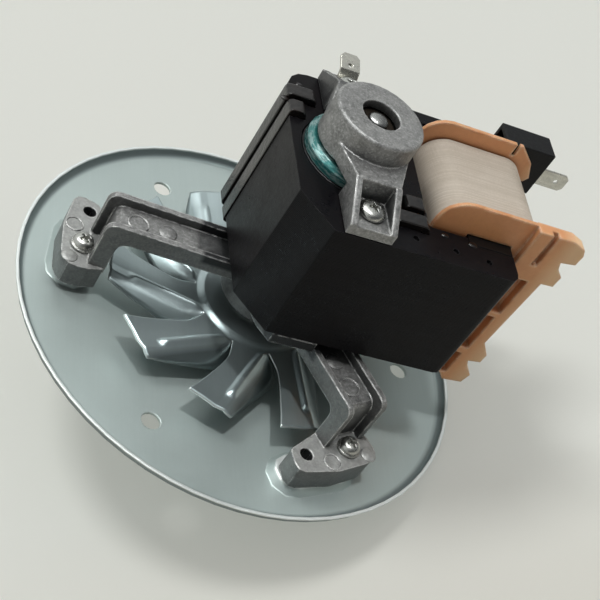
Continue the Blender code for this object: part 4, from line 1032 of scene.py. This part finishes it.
class MOTOR_OT_screws(MotorOperator, bpy.types.Operator):
    """Make the pan-head screws with cross recesses and threaded ends"""
    bl_idname = "motor.screws"
    bl_label = "Screws"

    head_radius = 0.0041
    head_height = 0.0024
    # Shares of the head's radius and height, from its top down
    head_profile = ((0.35, 0.985), (0.6, 0.92), (0.8, 0.78), (0.92, 0.58), (0.985, 0.34), (1.0, 0.12),
                    (0.97, 0.0))
    foot_scale = 0.80           # the feet's screws have smaller heads, with a washer
    washer_thick = 0.0007
    washer_reach = 0.0004
    shank = 0.0020
    thread_deep = 0.0002
    thread_pitch = 0.0007
    cross = (0.0048, 0.0012, 0.0026)
    cross_taper = (0.42, 0.6, 1.0)
    turns = {"bracket_screw_front": 0.2, "bracket_screw_rear": 0.9, "foot_screw_left": 0.5,
             "foot_screw_front": 0.35, "foot_screw_rear": 1.1}

    def execute(self, context):
        places = {"bracket_screw_front": Vector((0, -SCREW_Y, 0)),
                  "bracket_screw_rear": Vector((0, SCREW_Y, 0))}
        for name, azimuth in zip(ARM_NAMES, ARM_AZIMUTHS):
            places["foot_screw_" + name] = on_arm(FOOT_SCREW, azimuth)
        for node, at in places.items():
            low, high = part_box(node)
            screw = self.screw(high.z, low.z, node.startswith("foot"))
            screw.transform(Matrix.Translation(at) @ Matrix.Rotation(self.turns[node], 4, "Z"))
            place_piece(screw, "dressed_" + node, STATOR, "zinc_screw", [node], sharp=30.0)
        return {"FINISHED"}

    def screw(self, top, tip, in_foot):
        """A screw on the Z axis from the top of its head to its tip; a foot's screw has a washer."""
        washer = self.washer_thick if in_foot else 0.0
        head = self.head_radius * (self.foot_scale if in_foot else 1.0)
        seat = top - self.head_height - washer
        core = self.shank - self.thread_deep
        profile = [(0, top)]
        profile += [(head * r, seat + washer + self.head_height * z) for r, z in self.head_profile]
        if in_foot:
            wide = head + self.washer_reach
            profile += [(wide - 0.0001, seat + washer), (wide, seat + washer * 0.7), (wide, seat + 0.0001),
                        (wide - 0.0001, seat)]
        profile += [(core, seat), (core, tip + 0.0006), (self.shank * 0.55, tip), (0, tip)]
        tools = []
        for quarter in range(2):
            tool = brick(self.cross)
            bmesh.ops.scale(tool, vec=self.cross_taper, verts=[v for v in tool.verts if v.co.z < 0])
            tools.append(moved(tool, turn=quarter * math.pi / 2, to=(0, 0, top - 0.0003)))
        body = carved(turned(profile, 44), tools)
        reach = 0.0060 if in_foot else 0.0120
        thread = helix(self.shank - 0.0003, self.shank, self.thread_pitch, tip + 0.0004, tip + reach, 20)
        return join_shapes(body, thread)


class MOTOR_OT_bobbin(MotorOperator, bpy.types.Operator):
    """Finish the bobbin"""
    bl_idname = "motor.bobbin"
    bl_label = "Bobbin"

    def execute(self, context):
        sizes = context.scene.motor_sizes
        dress("bobbin", STATOR, sizes.moulding_edge)
        return {"FINISHED"}


class MOTOR_OT_coil(MotorOperator, bpy.types.Operator):
    """Wind the coil, turn beside turn"""
    bl_idname = "motor.coil"
    bl_label = "Coil"

    corner = 0.0085
    wall = 0.0007
    # Share of a turn's width, and how deep the skin lies at its end
    steps = ((0.22, 0.3), (0.28, 0.0), (0.28, 0.3), (0.22, 1.0))

    def execute(self, context):
        sizes = context.scene.motor_sizes
        low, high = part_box("coil_wrap")
        centre = (low + high) / 2
        half = Vector(((high.x - low.x) / 2, 0, (high.z - low.z) / 2))
        turns = round((high.y - low.y - 0.0002) / sizes.wire_pitch)
        pitch = (high.y - low.y) / turns
        bm = bmesh.new()
        bmesh.ops.create_grid(bm, x_segments=1, y_segments=1, size=1.0)
        moved(bm, scale=(half.x, half.z, 1.0))
        bmesh.ops.bevel(bm, geom=bm.verts[:], offset=self.corner, offset_type="OFFSET", segments=9,
                        profile=0.5, affect="VERTICES", material=-1)
        moved(bm, turn=math.pi / 2, axis="X", to=(0, low.y, 0))
        bmesh.ops.delete(bm, geom=bm.faces[:], context="FACES_ONLY")
        loop = bm.edges[:]
        depth = 0.0
        for share, deep in self.steps * turns:
            made = bmesh.ops.extrude_edge_only(bm, edges=loop)["geom"]
            verts = [v for v in made if isinstance(v, bmesh.types.BMVert)]
            loop = [e for e in made if isinstance(e, bmesh.types.BMEdge)]
            now = sizes.wire_depth * deep
            grow = ((half.x - now) / (half.x - depth), 1.0, (half.z - now) / (half.z - depth))
            bmesh.ops.scale(bm, vec=grow, verts=verts)
            bmesh.ops.translate(bm, vec=(0, pitch * share, 0), verts=verts)
            depth = now
        moved(bm, to=(centre.x, 0, centre.z))
        bmesh.ops.recalc_face_normals(bm, faces=bm.faces)
        coil = place_piece(bm, "wound_coil", STATOR, "cream_wrap", ["coil_wrap"], sharp=80.0)
        add_wall(coil, self.wall)
        dress("coil_winding", STATOR)
        return {"FINISHED"}


class MOTOR_OT_terminals(MotorOperator, bpy.types.Operator):
    """Finish the terminal blocks and their tabs"""
    bl_idname = "motor.terminals"
    bl_label = "Terminals"

    tab_edge = 0.00012

    def execute(self, context):
        sizes = context.scene.motor_sizes
        for side in ("upper", "lower"):
            dress("terminal_block_" + side, STATOR, sizes.moulding_edge * 2.2, segments=3)
            dress("terminal_tab_" + side, STATOR, self.tab_edge)
        dress("earth_tab", STATOR, self.tab_edge)
        return {"FINISHED"}


class MOTOR_OT_bearings(MotorOperator, bpy.types.Operator):
    """Finish the ball bushes, felts, clips and washers"""
    bl_idname = "motor.bearings"
    bl_label = "Bearings"

    def execute(self, context):
        for side in ("upper", "lower"):
            for part in ("bearing", "felt", "spring_clip"):
                dress(f"{side}_{part}", STATOR)
            dress(f"{side}_thrust_washer", ROTOR)
        return {"FINISHED"}


class MOTOR_OT_stage(MotorOperator, bpy.types.Operator):
    """Set the table, the light and the camera"""
    bl_idname = "motor.stage"
    bl_label = "Table, light and camera"

    # Strength, degrees across, and direction of each lamp
    ceiling = (1.25, 4.5, (-0.12, -0.01, 0.99))
    window = (0.95, 17.0, (-0.573, 0.302, 0.762))
    even_light = 0.38           # of the world
    pane = (-0.37, 0.17, 0.914)     # where one bright pane shows in the gloss
    pane_strength = 10.0
    table_half = 8.0
    table_gap = 0.0002
    table_glow = 0.30           # what the table shows beyond its light
    lens = 83.83
    camera_place = (-0.16299, -0.29201, 0.29610)
    camera_turn = (0.78228, -0.46635, -0.11799)

    def execute(self, context):
        scene = context.scene
        hues = scene.motor_colours
        table = self.table(hues)
        self.world(scene, hues)
        self.spare(self.lamp("ceiling", *self.ceiling), table)
        self.lamp("window", *self.window)
        self.camera(scene)
        scene.view_settings.view_transform = "Standard"
        return {"FINISHED"}

    def table(self, hues):
        """A pale table under the shaft's end and the rim."""
        tilt = math.atan2(-SHAFT_END, PLATE_RADIUS)
        side = Vector((math.cos(LEAN_AZIMUTH), math.sin(LEAN_AZIMUTH), 0))
        normal = side * math.sin(tilt) + Vector((0, 0, math.cos(tilt)))
        bm = bmesh.new()
        bmesh.ops.create_grid(bm, x_segments=2, y_segments=2, size=self.table_half)
        lean = normal.to_track_quat("Z", "Y").to_matrix()
        bmesh.ops.rotate(bm, cent=(0, 0, 0), verts=bm.verts, matrix=lean)
        moved(bm, to=Vector((0, 0, SHAFT_END)) - normal * self.table_gap)
        mesh = as_mesh(bm, "table")
        mesh.materials.append(self.table_surface(hues))
        table = in_scene("table", mesh)
        return table

    def table_surface(self, hues):
        """Pale and a little cloudy, darker and warmer near the viewer with painted shade, and clear from
        below. Its glow is there for the camera, gloss and transmission alone."""
        surface = bpy.data.materials.new("table_pale")
        surface.use_nodes = True
        tree = surface.node_tree
        shader = tree.nodes["Principled BSDF"]
        pale = tuple(hues.table)
        cloud = noise(tree, 3.0, 2.0)
        tone = blend(tree, ramp(tree, cloud, 0.3, 0.7), pale, tuple(c * 0.97 for c in pale))
        # painted shade: the table is darker and warmer towards the viewer
        near = ramp(tree, along(tree, own_place(tree), (0.20, -0.98, 0.0)), 0.05, 0.13)
        tone = blend(tree, near, tone, tuple(c * w for c, w in zip(pale, (0.91, 0.88, 0.85))))
        glow = times(tree, seeing_rays(tree)[1], self.table_glow)
        feed(tree, shader.inputs, {"Roughness": 0.6, "Specular IOR Level": 0.2, "Base Color": tone,
                                   "Emission Color": tone, "Emission Strength": glow})
        clear = add(tree, "BsdfTransparent")
        back = add(tree, "NewGeometry").outputs["Backfacing"]
        either = add(tree, "MixShader", {0: back, 1: shader.outputs[0], 2: clear.outputs[0]})
        tree.links.new(either.outputs[0], tree.nodes["Material Output"].inputs["Surface"])
        return surface

    def world(self, scene, hues):
        """Even pale light all round. The camera sees the table's colour, and gloss sees a darker front and
        right side and one bright pane."""
        world = bpy.data.worlds.new("studio")
        scene.world = world
        world.use_nodes = True
        tree = world.node_tree
        lit = tree.nodes["Background"]
        feed(tree, lit.inputs, {"Color": (1.0, 1.0, 0.99, 1.0), "Strength": self.even_light})
        direction = add(tree, "TexCoord").outputs["Generated"]
        right = ramp(tree, axis_of(tree, direction, "X"), 0.22, 0.58)
        front = ramp(tree, along(tree, direction, (0.45, -0.80, 0.10)), 0.0, 0.7)
        glossy = blend(tree, right, (0.78, 0.81, 0.80), (0.28, 0.29, 0.295))
        glossy = blend(tree, front, glossy, (0.10, 0.105, 0.11))
        sharp, seen = seeing_rays(tree)
        pane = ramp(tree, along(tree, direction, self.pane), 0.960, 0.985, 0.0, self.pane_strength)
        shown = add(tree, "Background", {"Color": blend(tree, sharp, tuple(hues.table), glossy),
                                         "Strength": maths(tree, "ADD", times(tree, pane, sharp), 1.0)})
        both = add(tree, "MixShader", {0: seen, 1: lit.outputs[0], 2: shown.outputs[0]})
        tree.links.new(both.outputs[0], tree.nodes["World Output"].inputs["Surface"])

    def lamp(self, name, strength, size, direction):
        """A soft lamp far away in a direction."""
        data = bpy.data.lights.new(name, "SUN")
        data.energy = strength
        data.angle = math.radians(size)
        lamp = in_scene(name, data)
        lamp.rotation_mode = "QUATERNION"
        lamp.rotation_quaternion = Vector(direction).to_track_quat("Z", "Y")
        return lamp

    def spare(self, lamp, table):
        """Keeps a lamp off the table, so that only the window's soft shadow falls there."""
        lit = bpy.data.collections.new("not_lit_from_above")
        lit.objects.link(table)
        lamp.light_linking.receiver_collection = lit
        lit.collection_objects[0].light_linking.link_state = "EXCLUDE"

    def camera(self, scene):
        """The photograph's camera."""
        data = bpy.data.cameras.new("camera")
        data.lens = self.lens
        data.sensor_width = 36.0
        scene.camera = in_scene("camera", data)
        scene.camera.location = self.camera_place
        scene.camera.rotation_euler = self.camera_turn


class MOTOR_PT_panel(bpy.types.Panel):
    """Sizes, colours and steps of the motor's looks"""
    bl_idname = "MOTOR_PT_panel"
    bl_label = "Oven fan motor"
    bl_space_type = "VIEW_3D"
    bl_region_type = "UI"
    bl_category = "Motor"

    def draw(self, context):
        column = self.layout.column()
        for group in (context.scene.motor_sizes, context.scene.motor_colours):
            for key in group.__annotations__:
                column.prop(group, key)
        for step in STEPS:
            column.operator(step.bl_idname)


STEPS = (MOTOR_OT_plate, MOTOR_OT_castings, MOTOR_OT_stack, MOTOR_OT_rotor, MOTOR_OT_fan, MOTOR_OT_screws,
         MOTOR_OT_bobbin, MOTOR_OT_coil, MOTOR_OT_terminals, MOTOR_OT_bearings, MOTOR_OT_stage)
CLASSES = (MotorSizes, MotorColours) + STEPS + (MOTOR_PT_panel,)


def register():
    for item in CLASSES:
        bpy.utils.register_class(item)
    bpy.types.Scene.motor_sizes = PointerProperty(type=MotorSizes)
    bpy.types.Scene.motor_colours = PointerProperty(type=MotorColours)


def unregister():
    del bpy.types.Scene.motor_colours
    del bpy.types.Scene.motor_sizes
    for item in reversed(CLASSES):
        bpy.utils.unregister_class(item)


def main():
    register()
    for step in STEPS:
        group, name = step.bl_idname.split(".")
        getattr(getattr(bpy.ops, group), name)()


if __name__ == "__main__":
    main()
